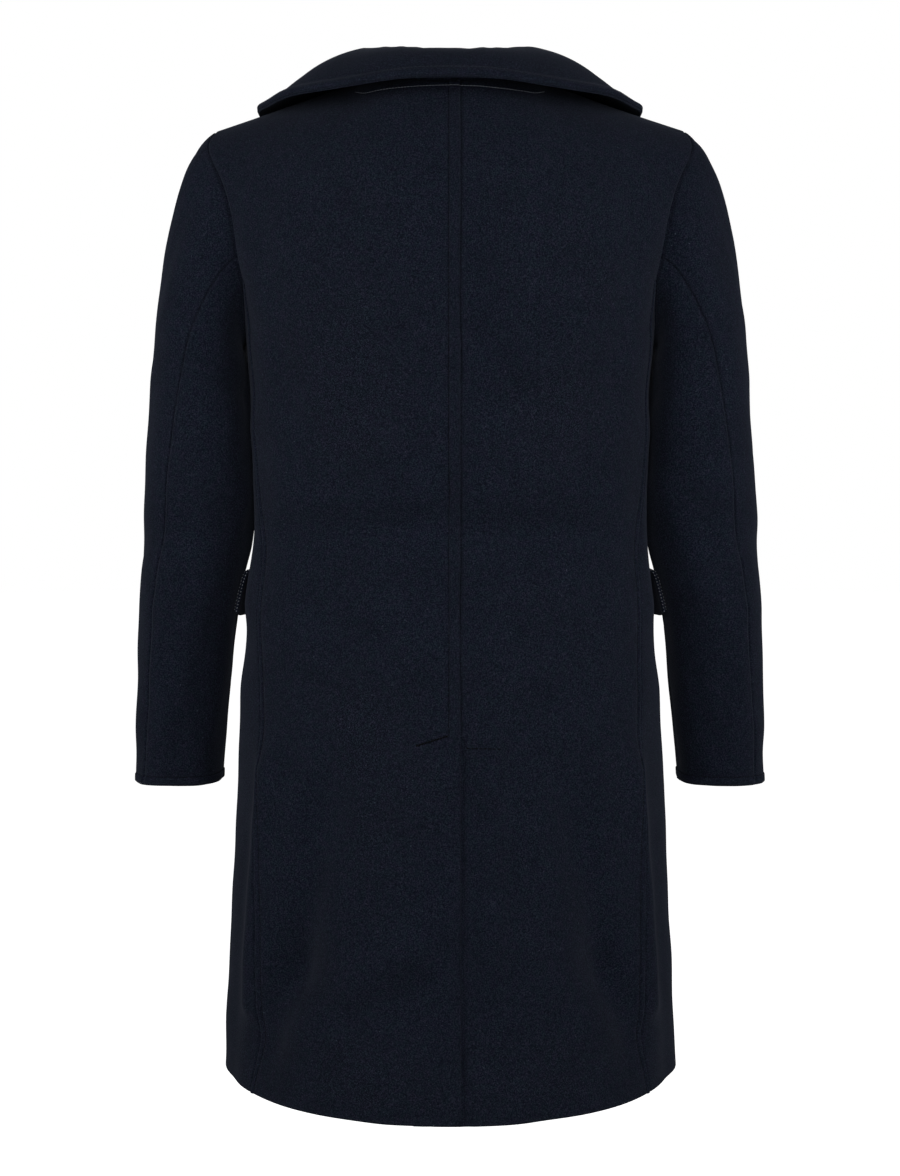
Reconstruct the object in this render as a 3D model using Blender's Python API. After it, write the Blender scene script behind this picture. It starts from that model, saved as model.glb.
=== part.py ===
"""A long single-breasted wool overcoat in its worn, hollow form, cut as its maker cuts it.

Metres. The coat faces -Y, its wearer's left is +X and Z is up. The origin is the middle of the
neck opening, at the height of the nape seam. Each panel is worked out on the left side, and the
right one is its mirror image, apart from the centre-back seam and the closure.

A surface takes (across, up): across runs from 0 to 1 over a panel, and up from 0 at the hem to 1
at the foot of the armhole and on to 2 at the shoulder seam.
"""

import collections
import math

import bpy
import numpy as np

# Cloth
CLOTH = 0.0028
DOUBLED = 0.0044  # two layers sewn and turned: collar, lapels, flaps
SEAM_GAP = 0.0003
HALF_GAP = SEAM_GAP / 2

# Heights on the body
HEM = -0.984
HEM_SWING = 0.007  # the hem is this much lower at the back, and higher at the front
JOIN = -0.190  # where the side seams meet the armhole
UNDERARM = -0.246
BREAK = -0.355  # where the lapels start to roll
VENT_TOP = -0.628

# Neck and shoulder
NAPE_Y = 0.085
SIDE_NECK = (0.088, 0.004, 0.014)
SHOULDER_TIP = (0.2360, -0.004, -0.0335)
SHOULDER_HOLLOW = 0.0005

# How the back and front run on from the height of JOIN, up and over to the neck and shoulder:
# how steeply they arrive there, in degrees, and how far the curve holds each end's direction
NECK_CLIMB = 60
FRONT_NECK_CLIMB = 35
LEAVE_SHARE = 0.60
BACK_REACH = 0.052
BACK_REACH_MORE = 0.012
FRONT_REACH = 0.050
FRONT_REACH_MORE = 0.010

# Edges near the middle, measured to the wearer's left
BACK_SEAM_X = -0.0104
FRONT_EDGE_X = -0.028
ROLL_JOIN_X = 0.026  # the roll line where it passes the height of JOIN

# Vent, and the fronts' overlap
UNDERLAP = 0.045
UNDERLAP_DEPTH = CLOTH + SEAM_GAP
OVERLAP_DEPTH = CLOTH + 0.0006
LAPEL_DEPTH = 0.0120  # the right front lies this deep where its lapel passes under the left front
LAP_FADE = (0.032, 0.115)  # how far to the side the right front is back at its own depth
LAP_TOP = (JOIN - 0.06, JOIN + 0.02)
LAPEL_LAP_FOOT = (BREAK - 0.07, BREAK - 0.01)
LAPEL_LAP_TOP = (JOIN - 0.03, JOIN + 0.07)

# The girth, by height: half width, depth of the back and of the front, how square the ring is,
# and how far back and forward the side panel's seams lie
RINGS = (
    # height, half_width, back, front, square, back_seam, front_seam
    (-0.990, 0.2293, 0.1945, 0.1640, 2.10, 0.103, -0.088),
    (-0.870, 0.2236, 0.1810, 0.1580, 2.18, 0.105, -0.084),
    (-0.744, 0.2167, 0.1650, 0.1500, 2.30, 0.098, -0.078),
    (-0.620, 0.2110, 0.1480, 0.1420, 2.40, 0.083, -0.070),
    (-0.540, 0.2068, 0.1350, 0.1360, 2.48, 0.070, -0.064),
    (-0.477, 0.2022, 0.1250, 0.1310, 2.55, 0.061, -0.060),
    (-0.420, 0.1966, 0.1190, 0.1280, 2.62, 0.052, -0.056),
    (-0.330, 0.1985, 0.1230, 0.1310, 2.75, 0.050, -0.054),
    (-0.250, 0.2040, 0.1310, 0.1350, 2.88, 0.053, -0.057),
    (-0.190, 0.2085, 0.1340, 0.1340, 3.00, 0.058, -0.060),
)

# The armhole above the side panel, from the seams' height to the shoulder tip
ARMHOLE = (
    # share, back_x, back_y, back_z, front_x, front_y, front_z
    (0.150, 0.2088, 0.0640, -0.1630, 0.2070, -0.0660, -0.1600),
    (0.355, 0.2150, 0.0620, -0.1270, 0.2120, -0.0660, -0.1220),
    (0.600, 0.2277, 0.0480, -0.0865, 0.2235, -0.0520, -0.0830),
    (0.840, 0.2415, 0.0200, -0.0510, 0.2375, -0.0270, -0.0505),
)

# The sleeve below its cap
SLEEVE_TOP = -0.270
CUFF = -0.702
SLEEVE_RINGS = (
    # height, outer_x, inner_x, middle_y, half_depth, back_seam
    (-0.2700, 0.3000, 0.2052, -0.006, 0.0770, 83.0),
    (-0.3300, 0.3050, 0.2014, -0.009, 0.0735, 74.5),
    (-0.3900, 0.3105, 0.1992, -0.013, 0.0695, 68.1),
    (-0.4300, 0.3137, 0.1992, -0.017, 0.0665, 64.8),
    (-0.4576, 0.3155, 0.2065, -0.020, 0.0650, 63.1),
    (-0.4990, 0.3180, 0.2177, -0.026, 0.0628, 61.1),
    (-0.5404, 0.3205, 0.2238, -0.033, 0.0608, 59.4),
    (-0.5820, 0.3227, 0.2287, -0.041, 0.0590, 57.8),
    (-0.6237, 0.3253, 0.2332, -0.049, 0.0573, 56.5),
    (-0.6655, 0.3280, 0.2383, -0.057, 0.0557, 55.2),
    (-0.7020, 0.3305, 0.2415, -0.063, 0.0543, 54.3),
)
SLEEVE_SQUARE = 2.70
# The way that the sleeve leaves the armhole, at its crown and under the arm, and how far it holds
# that way, with the share of the way back up that it holds the arm's own
CROWN_WAY = (0.85, 0.30, -0.53)
UNDER_WAY = (0.95, 0.25, -0.25)
LEAN_Y = 0.05
UNDER_REACH = 0.009
CROWN_REACH = 0.034
CAP_SETTLE = 0.40
SLEEVE_RADIUS = 0.06
# Each piece's middle line, its share of the way from seam to seam and its angle round the sleeve
TOP_MIDDLE = (0.5, 0.0)
UNDER_MIDDLE = (3 / 7, -180.0)
FRONT_SEAM = -132.0

# The collar's free edge and the height of its stand, from the centre back round the side of the
# neck, at 0.5, to the gorge
COLLAR = (
    # share, edge_x, edge_y, edge_z, stand, droop
    (0.00, 0.0000, 0.1270, -0.0080, 0.0235, 0.0075),
    (0.13, 0.0430, 0.1265, -0.0095, 0.0236, 0.0075),
    (0.26, 0.0860, 0.1220, -0.0165, 0.0228, 0.0080),
    (0.38, 0.1230, 0.1070, -0.0180, 0.0228, 0.0085),
    (0.50, 0.1580, 0.0780, -0.0180, 0.0220, 0.0085),
    (0.62, 0.1815, 0.0380, -0.0188, 0.0185, 0.0070),
    (0.74, 0.1930, -0.0030, -0.0185, 0.0140, 0.0050),
    (0.86, 0.1840, -0.0370, -0.0285, 0.0080, 0.003),
    (1.00, 0.1630, -0.0583, -0.0378, 0.0012, 0.002),
)
ROLL_RADIUS = 0.0022

# The gorge, where collar and lapel meet, and the notch at its end, across and up the front
GORGE_UP = 1.75
GORGE_WIDTH = 0.55
GORGE_DROP = 0.11
NOTCH = 0.60  # share of the gorge that is sewn, beyond which the notch is open
POINT_RISE = 0.02
GORGE_GAP = 0.003

# Lapels, across and up the front from the roll line
LAPEL_FROM = 19 / 24
LAPEL_WIDTH = 0.62
LAPEL_START = 0.05
LAPEL_DROP = 0.26
LAPEL_STAND = 0.0012
LAPEL_ROLL = 0.0009  # the roll's radius at the break
LAPEL_CLEAR = 0.0022

# Pocket flaps, by the angle round the body
FLAP_TOP = -0.4765
FLAP_HEIGHT = 0.050
FLAP_FROM = 89.0
FLAP_TO = 138.0
FLAP_FLARE_REAR = 0.0105
FLAP_FLARE_FRONT = 0.0050
FLAP_FLARE_BEND = 0.5  # the flare grows with this power of the way down
FLAP_CORNER = 0.16

# Buttons
BUTTON_RADIUS = 0.0140
BUTTON_THICK = 0.0042
BUTTON_RIM = 0.0012
BUTTON_SHANK = 0.0035
BUTTON_LIFT = 0.0020
BUTTONS = (("button_top", -0.385), ("button_middle", -0.510), ("button_low", -0.635))

# The largest folds, soft ridges and troughs on the body's panels. An angle is measured round
# the body in degrees, from 0 at the centre back through 90 at the side to 180 at the front.
BODY_FOLDS = (
    # from_angle, from_z, to_angle, to_z, half_width, rise, left, right
    (38, -0.680, 46, -0.850, 0.028, -0.0085, 1.0, 0.9),
    (46, -0.850, 56, -0.930, 0.030, -0.0085, 1.0, 0.9),
    (61, -0.660, 64, -0.900, 0.018, 0.0055, 0.9, 1.0),
    (28, -0.900, 3, -0.852, 0.028, -0.0030, 1.0, 0.4),
    (13, -0.630, 13, -0.880, 0.022, 0.0035, 0.2, 1.0),
    (4, -0.440, 70, -0.455, 0.032, -0.0050, 1.0, 0.9),
    (6, -0.368, 60, -0.362, 0.030, 0.0045, 0.9, 1.0),
    (16, -0.110, 20, -0.240, 0.020, 0.0035, 0.4, 1.0),
    (62, -0.120, 58, -0.300, 0.020, -0.0040, 1.0, 0.9),
    (30, -0.520, 42, -0.640, 0.024, 0.0035, 1.0, 0.7),
    (98, -0.640, 104, -0.990, 0.028, -0.0060, 1.0, 0.8),
    (82, -0.600, 84, -0.990, 0.026, 0.0040, 0.8, 1.0),
    (128, -0.620, 132, -0.990, 0.030, -0.0060, 0.9, 1.0),
    (146, -0.560, 150, -0.990, 0.028, 0.0045, 1.0, 0.8),
    (160, -0.400, 125, -0.430, 0.030, -0.0035, 1.0, 0.8),
    (118, -0.110, 124, -0.300, 0.022, -0.0040, 1.0, 0.9),
)

BODY_RADIUS = 0.19
BLEND_X = 0.03  # within this of the middle, the left side's folds fade into the right side's

# Folds on the sleeves: turn is the angle round the sleeve, 0 outside, 90 behind, 180 inside
SLEEVE_FOLDS = (
    # from_turn, from_z, to_turn, to_z, half_width, rise, left, right
    (150, -0.300, 60, -0.255, 0.016, -0.0035, 1.0, 0.8),
    (160, -0.430, 40, -0.450, 0.018, -0.0040, 1.0, 0.9),
    (170, -0.400, 95, -0.385, 0.016, 0.0030, 0.8, 1.0),
    (125, -0.470, 110, -0.640, 0.018, -0.0035, 1.0, 0.9),
    (200, -0.440, 290, -0.455, 0.017, -0.0045, 1.0, 0.9),
    (235, -0.470, 290, -0.500, 0.014, 0.0035, 0.8, 1.0),
    (300, -0.300, 250, -0.380, 0.018, -0.0035, 1.0, 0.8),
    (20, -0.520, 35, -0.640, 0.020, 0.0025, 0.7, 1.0),
)

# How finely the solids are divided
BACK_COLUMNS = 13
NECK_COLUMNS = 7  # of a back panel's columns, those along the neck
FRONT_COLUMNS = 9
SIDE_COLUMNS = 6
LOWER_ROWS = 24
UPPER_ROWS = 8
CAP_ROWS = 8
ARM_ROWS = 13
STAND_ROWS = 2
TURN_ROWS = 4
FALL_ROWS = 5
END_COLUMNS = 4  # of the collar, those that settle onto its laid end
NECK_SPLITS = 2
FRONT_SPLITS = 2
FLAP_COLUMNS = 8
FLAP_ROWS = 4
BUTTON_SIDES = 24

STEP = 1e-3  # of a surface's own measure, for its slopes
MIRROR = np.array([-1.0, 1.0, 1.0])


def spline(knots, values, at):
    """A natural cubic spline through the values."""
    knots = np.asarray(knots, float)
    values = np.asarray(values, float)
    at = np.asarray(at, float)
    gaps = np.diff(knots)
    count = len(knots)
    matrix = np.eye(count)
    bends = np.zeros(count)
    for i in range(1, count - 1):
        matrix[i, i - 1 : i + 2] = gaps[i - 1], 2 * (gaps[i - 1] + gaps[i]), gaps[i]
        rises = np.diff(values[i - 1 : i + 2]) / gaps[i - 1 : i + 1]
        bends[i] = 6 * (rises[1] - rises[0])
    bends = np.linalg.solve(matrix, bends)
    cell = np.clip(np.searchsorted(knots, at) - 1, 0, count - 2)
    gap = gaps[cell]
    before = (at - knots[cell]) / gap
    after = 1 - before
    line = after * values[cell] + before * values[cell + 1]
    curve = (after**3 - after) * bends[cell] + (before**3 - before) * bends[cell + 1]
    return line + curve * gap**2 / 6


def table(rows, column, at):
    """One named column of a table, smoothed over its first column."""
    rows = sorted(rows)
    return spline([row[0] for row in rows], [row[column] for row in rows], at)


def smooth(low, high, at):
    """0 below low, 1 above high, and an even S between."""
    share = np.clip((np.asarray(at, float) - low) / (high - low), 0, 1)
    return share * share * (3 - 2 * share)


def mixed(first, second, share):
    share = np.asarray(share, float)[..., None]
    return first * (1 - share) + second * share


def joined(x, y, z):
    return np.stack(np.broadcast_arrays(x, y, z), axis=-1).astype(float)


def unit(vectors):
    length = np.linalg.norm(vectors, axis=-1, keepdims=True)
    return vectors / np.maximum(length, 1e-12)


def bezier(first, second, third, last, share):
    """A cubic curve from first to last, at each share of the way."""
    share = np.asarray(share, float)[..., None]
    rest = 1 - share
    return rest**3 * first + 3 * rest**2 * share * second + 3 * rest * share**2 * third + share**3 * last


# The girth's rings


def ring_sizes(height):
    half, back, front, square = (table(RINGS, column, height) for column in range(1, 5))
    return half, back, front, square


def ring_point(angle, height):
    """The point at an angle round the body, 0 at the centre back and pi at the centre front."""
    half, back, front, square = ring_sizes(height)
    depth = np.where(np.cos(angle) > 0, back, front)
    reach = (np.abs(np.sin(angle)) / half) ** square + (np.abs(np.cos(angle)) / depth) ** square
    reach = reach ** (-1 / square)
    return joined(reach * np.sin(angle), reach * np.cos(angle), height)


def angle_at_side(y, height):
    """The angle of the ring's point at this depth y, on the wearer's left."""
    half, back, front, square = ring_sizes(height)
    depth = np.where(y > 0, back, front)
    x = half * (1 - (np.abs(y) / depth) ** square) ** (1 / square)
    return np.arctan2(x, y)


def angle_at_middle(x, height, behind):
    """The angle of the ring's point at this x, near the centre back or the centre front."""
    half, back, front, square = ring_sizes(height)
    y = (1 - (np.abs(x) / half) ** square) ** (1 / square) * np.where(behind, back, -front)
    angle = np.arctan2(x, y)
    return np.where(~np.asarray(behind) & (angle < 0), angle + 2 * math.pi, angle)


def back_seam_angle(height):
    return angle_at_side(table(RINGS, 5, height), height)


def front_seam_angle(height):
    return angle_at_side(table(RINGS, 6, height), height)


def hem_height(third, across):
    """The hem's height, third 0 for the back, 1 for the side and 2 for the front."""
    return HEM - HEM_SWING * np.cos(math.radians(60) * (third + across))


# The body's panels, on the wearer's left


def shoulder_seam(share):
    """From the neck to the shoulder tip."""
    point = mixed(np.array(SIDE_NECK), np.array(SHOULDER_TIP), share)
    point[..., 2] -= SHOULDER_HOLLOW * np.sin(math.pi * np.clip(share, 0, 1))
    return point


def armhole_edge(share, behind):
    """The armhole from the side seam's height up to the shoulder tip, behind or in front."""
    seam = back_seam_angle(JOIN) if behind else front_seam_angle(JOIN)
    first = ring_point(seam, JOIN)
    columns = (1, 2, 3) if behind else (4, 5, 6)
    rows = [(0.0, *first)] + [(row[0], *(row[c] for c in columns)) for row in ARMHOLE]
    rows.append((1.0, *SHOULDER_TIP))
    return joined(*(table(rows, column, share) for column in (1, 2, 3)))


def back_lower(across, up, edge_x):
    height = hem_height(0, across)
    height = height + up * (JOIN - height)
    start = angle_at_middle(edge_x, height, True)
    return ring_point(start + across * (back_seam_angle(height) - start), height)


def side_panel(across, up):
    """The panel under the arm. Its top edge is the armhole's hollow."""
    from_middle = np.abs(2 * across - 1)
    top = UNDERARM + (JOIN - UNDERARM) * from_middle**2.6
    height = hem_height(1, across)
    height = height + up * (top - height)
    start = back_seam_angle(height)
    return ring_point(start + across * (front_seam_angle(height) - start), height)


def front_edge_x(height):
    """The front edge, and above the break the roll line."""
    rolled = np.clip((height - BREAK) / (JOIN - BREAK), 0, None)
    return FRONT_EDGE_X + (ROLL_JOIN_X - FRONT_EDGE_X) * rolled


def front_lower(across, up):
    height = hem_height(2, across)
    height = height + up * (JOIN - height)
    start = front_seam_angle(height)
    end = angle_at_middle(front_edge_x(height), height, False)
    return ring_point(start + across * (end - start), height)


def risen(lower, across, up, top, arrive, reach):
    """Carries each column of a lower panel on, over the shoulder, to its point on the top."""
    start = lower(across, np.ones_like(across))
    below = lower(across, np.full_like(across, 1 - STEP))
    slope = (start - below) / (start - below)[..., 2:]
    rise = (top - start)[..., 2:]
    leave = start + slope * rise * LEAVE_SHARE
    return bezier(start, leave, top - arrive * reach[..., None], top, up - 1)


NECK_SHARE = NECK_COLUMNS / BACK_COLUMNS


def neckline(share, edge_x):
    """From the centre-back seam to the side of the neck."""
    start = math.asin(edge_x / SIDE_NECK[0])
    turn = start + share * (math.pi / 2 - start)
    y = SIDE_NECK[1] + (NAPE_Y - SIDE_NECK[1]) * np.cos(turn)
    return joined(SIDE_NECK[0] * np.sin(turn), y, SIDE_NECK[2] * np.sin(turn) ** 2)


def back_panel(across, up, edge_x):
    across, up = np.broadcast_arrays(np.asarray(across, float), np.asarray(up, float))
    low = back_lower(across, np.minimum(up, 1), edge_x)
    on_neck = (across <= NECK_SHARE)[..., None]
    top = np.where(
        on_neck,
        neckline(np.minimum(across / NECK_SHARE, 1), edge_x),
        shoulder_seam(np.maximum((across - NECK_SHARE) / (1 - NECK_SHARE), 0)),
    )
    climb = np.radians(NECK_CLIMB * (1 - smooth(0, NECK_SHARE * 1.25, across)))
    arrive = joined(0, -np.cos(climb), np.sin(climb))
    reach = BACK_REACH + BACK_REACH_MORE * np.sin(math.pi * across)

    def lower(a, u):
        return back_lower(a, u, edge_x)

    high = risen(lower, across, np.maximum(up, 1), top, arrive, reach)
    at_armhole = risen(
        lower,
        np.ones_like(across),
        np.maximum(up, 1),
        shoulder_seam(np.ones_like(across)),
        joined(0, -np.ones_like(across), 0),
        np.full_like(across, BACK_REACH),
    )
    wanted = armhole_edge(np.maximum(up, 1) - 1, True)
    high = high + (wanted - at_armhole) * (across**4)[..., None]
    return np.where((up > 1)[..., None], high, low)


def front_panel(across, up):
    across, up = np.broadcast_arrays(np.asarray(across, float), np.asarray(up, float))
    low = front_lower(across, np.minimum(up, 1))
    top = shoulder_seam(1 - across)
    climb = np.radians(FRONT_NECK_CLIMB * smooth(0.55, 1, across))
    arrive = joined(0, np.cos(climb), np.sin(climb))
    reach = FRONT_REACH + FRONT_REACH_MORE * across
    high = risen(front_lower, across, np.maximum(up, 1), top, arrive, reach)
    none = np.zeros_like(across)
    at_armhole = risen(
        front_lower,
        none,
        np.maximum(up, 1),
        shoulder_seam(none + 1),
        joined(none, none + 1, none),
        none + FRONT_REACH,
    )
    wanted = armhole_edge(np.maximum(up, 1) - 1, False)
    high = high + (wanted - at_armhole) * ((1 - across) ** 4)[..., None]
    return np.where((up > 1)[..., None], high, low)


# Folds and facing directions


def ridge(across, along, length, half_width):
    """How far a point shares in a fold: 1 on its line, fading to its sides and past its ends."""
    past = np.maximum(np.maximum(-along, along - length), 0)
    return np.exp(-((across / half_width) ** 2) - (past / (1.3 * half_width)) ** 2)


def fold_rise(folds, turn, height, radius, left_share):
    """What the folds add at a place round the body or a sleeve."""
    rise = np.zeros(np.broadcast(turn, height).shape)
    for from_turn, from_z, to_turn, to_z, half_width, most, left, right in folds:
        run = np.array([math.radians(to_turn - from_turn) * radius, to_z - from_z])
        length = float(np.hypot(*run))
        run = run / length
        away = (turn - math.radians(from_turn)) * radius
        down = height - from_z
        along = away * run[0] + down * run[1]
        across = away * run[1] - down * run[0]
        strength = right + (left - right) * left_share
        rise = rise + most * strength * ridge(across, along, length, half_width)
    return rise


def body_rise(points, side):
    """The folds' share at points of the left side, or of the right side's mirror image."""
    x, y, height = np.moveaxis(points, -1, 0)
    left_share = smooth(-BLEND_X, BLEND_X, x * side)
    return fold_rise(BODY_FOLDS, np.arctan2(np.abs(x), y), height, BODY_RADIUS, left_share)


def facing(surface, across, up, top=2.0):
    """The surface's outward direction at each (across, up)."""
    left = surface(np.maximum(across - STEP, 0), up)
    right = surface(np.minimum(across + STEP, 1), up)
    below = surface(across, np.maximum(up - STEP, 0))
    above = surface(across, np.minimum(up + STEP, top))
    return unit(np.cross(above - below, right - left))


def grid_facing(points):
    """The direction across each point of a grid, from its neighbours along and down."""
    return unit(np.cross(np.gradient(points, axis=1), np.gradient(points, axis=0)))


def toward(out, away):
    """The facing, turned over if it is on the other side from the direction away."""
    return out * np.sign(np.sum(out * away))


def shoulder_facing():
    """The shoulder seam's own upward direction, shared by the back and the front."""
    run = np.array(SHOULDER_TIP) - np.array(SIDE_NECK)
    return unit(np.array([-run[2], 0.0, run[0]]))


# Sewn edges: their points, the cloth's facing there, and the way on past the edge

Edge = collections.namedtuple("Edge", "points facing onward")


def sewn_edge(points, out, inside):
    onward = unit(np.cross(np.gradient(points, axis=0), out))
    if np.sum(onward * (points - inside)) < 0:
        onward = -onward
    return Edge(points, out, onward)


def part_of(edge, first, last):
    return Edge(*(values[first:last] for values in edge))


def reverse_of(edge):
    return Edge(*(values[::-1] for values in edge))


def chain(edges):
    """Edges end to end, each shared point once."""
    parts = [edges[0]] + [part_of(edge, 1, None) for edge in edges[1:]]
    return Edge(*(np.concatenate(values) for values in zip(*parts)))


def split(edge, times):
    """The same edge with more points on its chords."""
    count = len(edge.points)
    at = np.linspace(0, count - 1, (count - 1) * times + 1)
    cell = np.minimum(at.astype(int), count - 2)
    points, out, onward = (mixed(v[cell], v[cell + 1], at - cell) for v in edge)
    return Edge(points, unit(out), unit(onward))


# Turning grids of points into closed walls


def grid(columns, rows):
    across, up = np.meshgrid(np.asarray(columns, float), np.asarray(rows, float))
    return across, up


def drawn_in(points, edges, gap=HALF_GAP):
    """Pulls the named edges of a grid in, along the surface."""
    places = {
        "first_column": ((slice(None), 0), (slice(None), 1)),
        "last_column": ((slice(None), -1), (slice(None), -2)),
        "last_row": ((-1,), (-2,)),
    }
    moved = points.copy()
    for edge in edges:
        here, inside = places[edge]
        moved[here] += unit(points[inside] - points[here]) * gap
    return moved


def wall_mesh(outer, inner, keep=None):
    """The faces between an outer and an inner grid, with the kept cells' rim closed."""
    rows, columns = outer.shape[:2]
    if keep is None:
        keep = np.ones((rows - 1, columns - 1), bool)
    if np.sum(grid_facing(outer) * (outer - inner)) < 0:
        outer, inner, keep = outer[:, ::-1], inner[:, ::-1], keep[:, ::-1]
    points = np.concatenate([outer.reshape(-1, 3), inner.reshape(-1, 3)])
    under = rows * columns
    faces = []
    rim = {}
    for i, j in np.argwhere(keep):
        corner = i * columns + j
        loop = (corner, corner + 1, corner + columns + 1, corner + columns)
        faces.append(loop)
        faces.append(tuple(under + c for c in reversed(loop)))
        for k in range(4):
            first, second = loop[k], loop[(k + 1) % 4]
            if rim.pop((second, first), None) is None:
                rim[first, second] = True
    for first, second in rim:
        faces.append((second, first, under + first, under + second))
    used = sorted({index for face in faces for index in face})
    renumbered = {index: new for new, index in enumerate(used)}
    return points[used], [tuple(renumbered[index] for index in face) for face in faces]


def material(name, colour, roughness):
    made = bpy.data.materials.new(name)
    made.use_nodes = True
    shader = made.node_tree.nodes["Principled BSDF"]
    shader.inputs["Base Color"].default_value = (*colour, 1)
    shader.inputs["Roughness"].default_value = roughness
    shader.inputs["Metallic"].default_value = 0
    return made


def add_object(name, points, faces, side, finish):
    """One named solid. The right side's is mirrored, with its faces turned to match."""
    if side < 0:
        points = points * MIRROR
        faces = [tuple(reversed(face)) for face in faces]
    mesh = bpy.data.meshes.new(name)
    mesh.from_pydata(points.tolist(), [], faces)
    mesh.validate()
    mesh.shade_smooth()
    mesh.set_sharp_from_angle(angle=math.radians(50))
    mesh.materials.append(finish)
    made = bpy.data.objects.new(name, mesh)
    bpy.context.scene.collection.objects.link(made)


def add_wall(name, outer, out, thick, side, finish, keep=None):
    points, faces = wall_mesh(outer, outer - out * thick, keep)
    add_object(name, points, faces, side, finish)


def sided(name, side):
    return name + ("_left" if side > 0 else "_right")


# The body's panels


def body_rows():
    lower = np.linspace(0, 1, LOWER_ROWS + 1)
    return np.concatenate([lower, 1 + np.linspace(0, 1, UPPER_ROWS + 1)[1:]])


def back_columns():
    neck = np.linspace(0, NECK_SHARE, NECK_COLUMNS + 1)
    return np.concatenate([neck, np.linspace(NECK_SHARE, 1, BACK_COLUMNS - NECK_COLUMNS + 1)[1:]])


def dressed(surface, across, up, side, top=2.0):
    """A panel's points with its folds, and its facing."""
    flat = surface(across, up)
    out = facing(surface, across, up, top)
    return flat + out * body_rise(flat, side)[..., None], out


def with_underlap(points, out, edge_x):
    """The right back's grid, carried past the seam below the vent, one wall further in."""
    height = points[:, 0, 2]
    columns = []
    for x in (edge_x - UNDERLAP, edge_x - UNDERLAP / 2, edge_x + HALF_GAP):
        flat = ring_point(angle_at_middle(x, height, True), height)
        rise = body_rise(flat, -1) - UNDERLAP_DEPTH
        columns.append(flat + out[:, 0] * rise[:, None])
    below = (height < VENT_TOP)[:, None]
    columns[2] = np.where(below, columns[2], points[:, 0])
    columns.append(mixed(points[:, 0], points[:, 1], 0.35))
    keep = np.ones((len(height) - 1, 3 + BACK_COLUMNS), bool)
    keep[:, :2] = below[1:]
    return np.stack(columns, axis=1), keep


def build_back(side, finish):
    """A back panel and its neck and armhole edges. The right one carries the vent's underlap."""
    edge_x = BACK_SEAM_X * side

    def surface(across, up):
        return back_panel(across, up, edge_x)

    across, up = grid(back_columns(), body_rows())
    points, out = dressed(surface, across, up, side)
    out[-1, NECK_COLUMNS:] = shoulder_facing()
    neck = slice(0, NECK_COLUMNS + 1)
    neck_edge = sewn_edge(points[-1, neck], out[-1, neck], points[-2, neck])
    arm_edge = sewn_edge(points[LOWER_ROWS:, -1], out[LOWER_ROWS:, -1], points[LOWER_ROWS:, -2])
    points = drawn_in(points, ("first_column", "last_column", "last_row"))
    keep = None
    if side < 0:
        lap, keep = with_underlap(points, out, edge_x)
        points = np.concatenate([lap, points[:, 1:]], axis=1)
        out = np.concatenate([out[:, :1]] * 3 + [out], axis=1)
    add_wall(sided("back", side), points, out, CLOTH, side, finish, keep)
    return neck_edge, arm_edge


def build_side(side, finish):
    across, up = grid(np.linspace(0, 1, SIDE_COLUMNS + 1), np.linspace(0, 1, LOWER_ROWS + 1))
    points, out = dressed(side_panel, across, up, side, 1.0)
    arm_edge = sewn_edge(points[-1], out[-1], points[-2])
    points = drawn_in(points, ("first_column", "last_column", "last_row"))
    add_wall(sided("side", side), points, out, CLOTH, side, finish)
    return arm_edge


def lap_depth(points):
    """How deep the right front lies under the left one, and under its own lapel's end."""
    x, height = points[..., 0], points[..., 2]
    near = 1 - smooth(*LAP_FADE, x)
    below = 1 - smooth(*LAP_TOP, height)
    rolled_end = smooth(*LAPEL_LAP_FOOT, height) * (1 - smooth(*LAPEL_LAP_TOP, height))
    return near * (OVERLAP_DEPTH * below + (LAPEL_DEPTH - OVERLAP_DEPTH) * rolled_end)


def front_points(across, up, side):
    points, out = dressed(front_panel, across, up, side)
    if side < 0:
        points = points - out * lap_depth(points)[..., None]
    return points, out


def build_front(side, finish):
    across, up = grid(np.linspace(0, 1, FRONT_COLUMNS + 1), body_rows())
    points, out = front_points(across, up, side)
    out[-1] = shoulder_facing()
    arm_edge = sewn_edge(points[LOWER_ROWS:, 0], out[LOWER_ROWS:, 0], points[LOWER_ROWS:, 1])
    roll_edge = sewn_edge(points[:, -1], out[:, -1], points[:, -2])
    points = drawn_in(points, ("first_column", "last_row"))
    add_wall(sided("front", side), points, out, CLOTH, side, finish)
    return roll_edge, arm_edge


# Sleeves


def sleeve_middle(height):
    return (table(SLEEVE_RINGS, 1, height) + table(SLEEVE_RINGS, 2, height)) / 2


def sleeve_ring(turn, height):
    """The point at an angle round the sleeve, 0 outside, 90 degrees behind, 180 inside."""
    outer, inner, middle_y, depth = (table(SLEEVE_RINGS, column, height) for column in range(1, 5))
    half = (outer - inner) / 2
    reach = (np.abs(np.cos(turn)) / half) ** SLEEVE_SQUARE
    reach = reach + (np.abs(np.sin(turn)) / depth) ** SLEEVE_SQUARE
    reach = reach ** (-1 / SLEEVE_SQUARE)
    x = sleeve_middle(height) + reach * np.cos(turn)
    return joined(x, middle_y + reach * np.sin(turn), height)


def sleeve_turns(columns, middle_line, first, last):
    """The angles of a piece's columns, from one of its seams past its middle line to the other."""
    middle_share, middle = middle_line
    share = np.linspace(0, 1, columns)
    early = first + (middle - first) * share / middle_share
    late = middle + (last - middle) * (share - middle_share) / (1 - middle_share)
    return np.where(share < middle_share, early, late)


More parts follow.
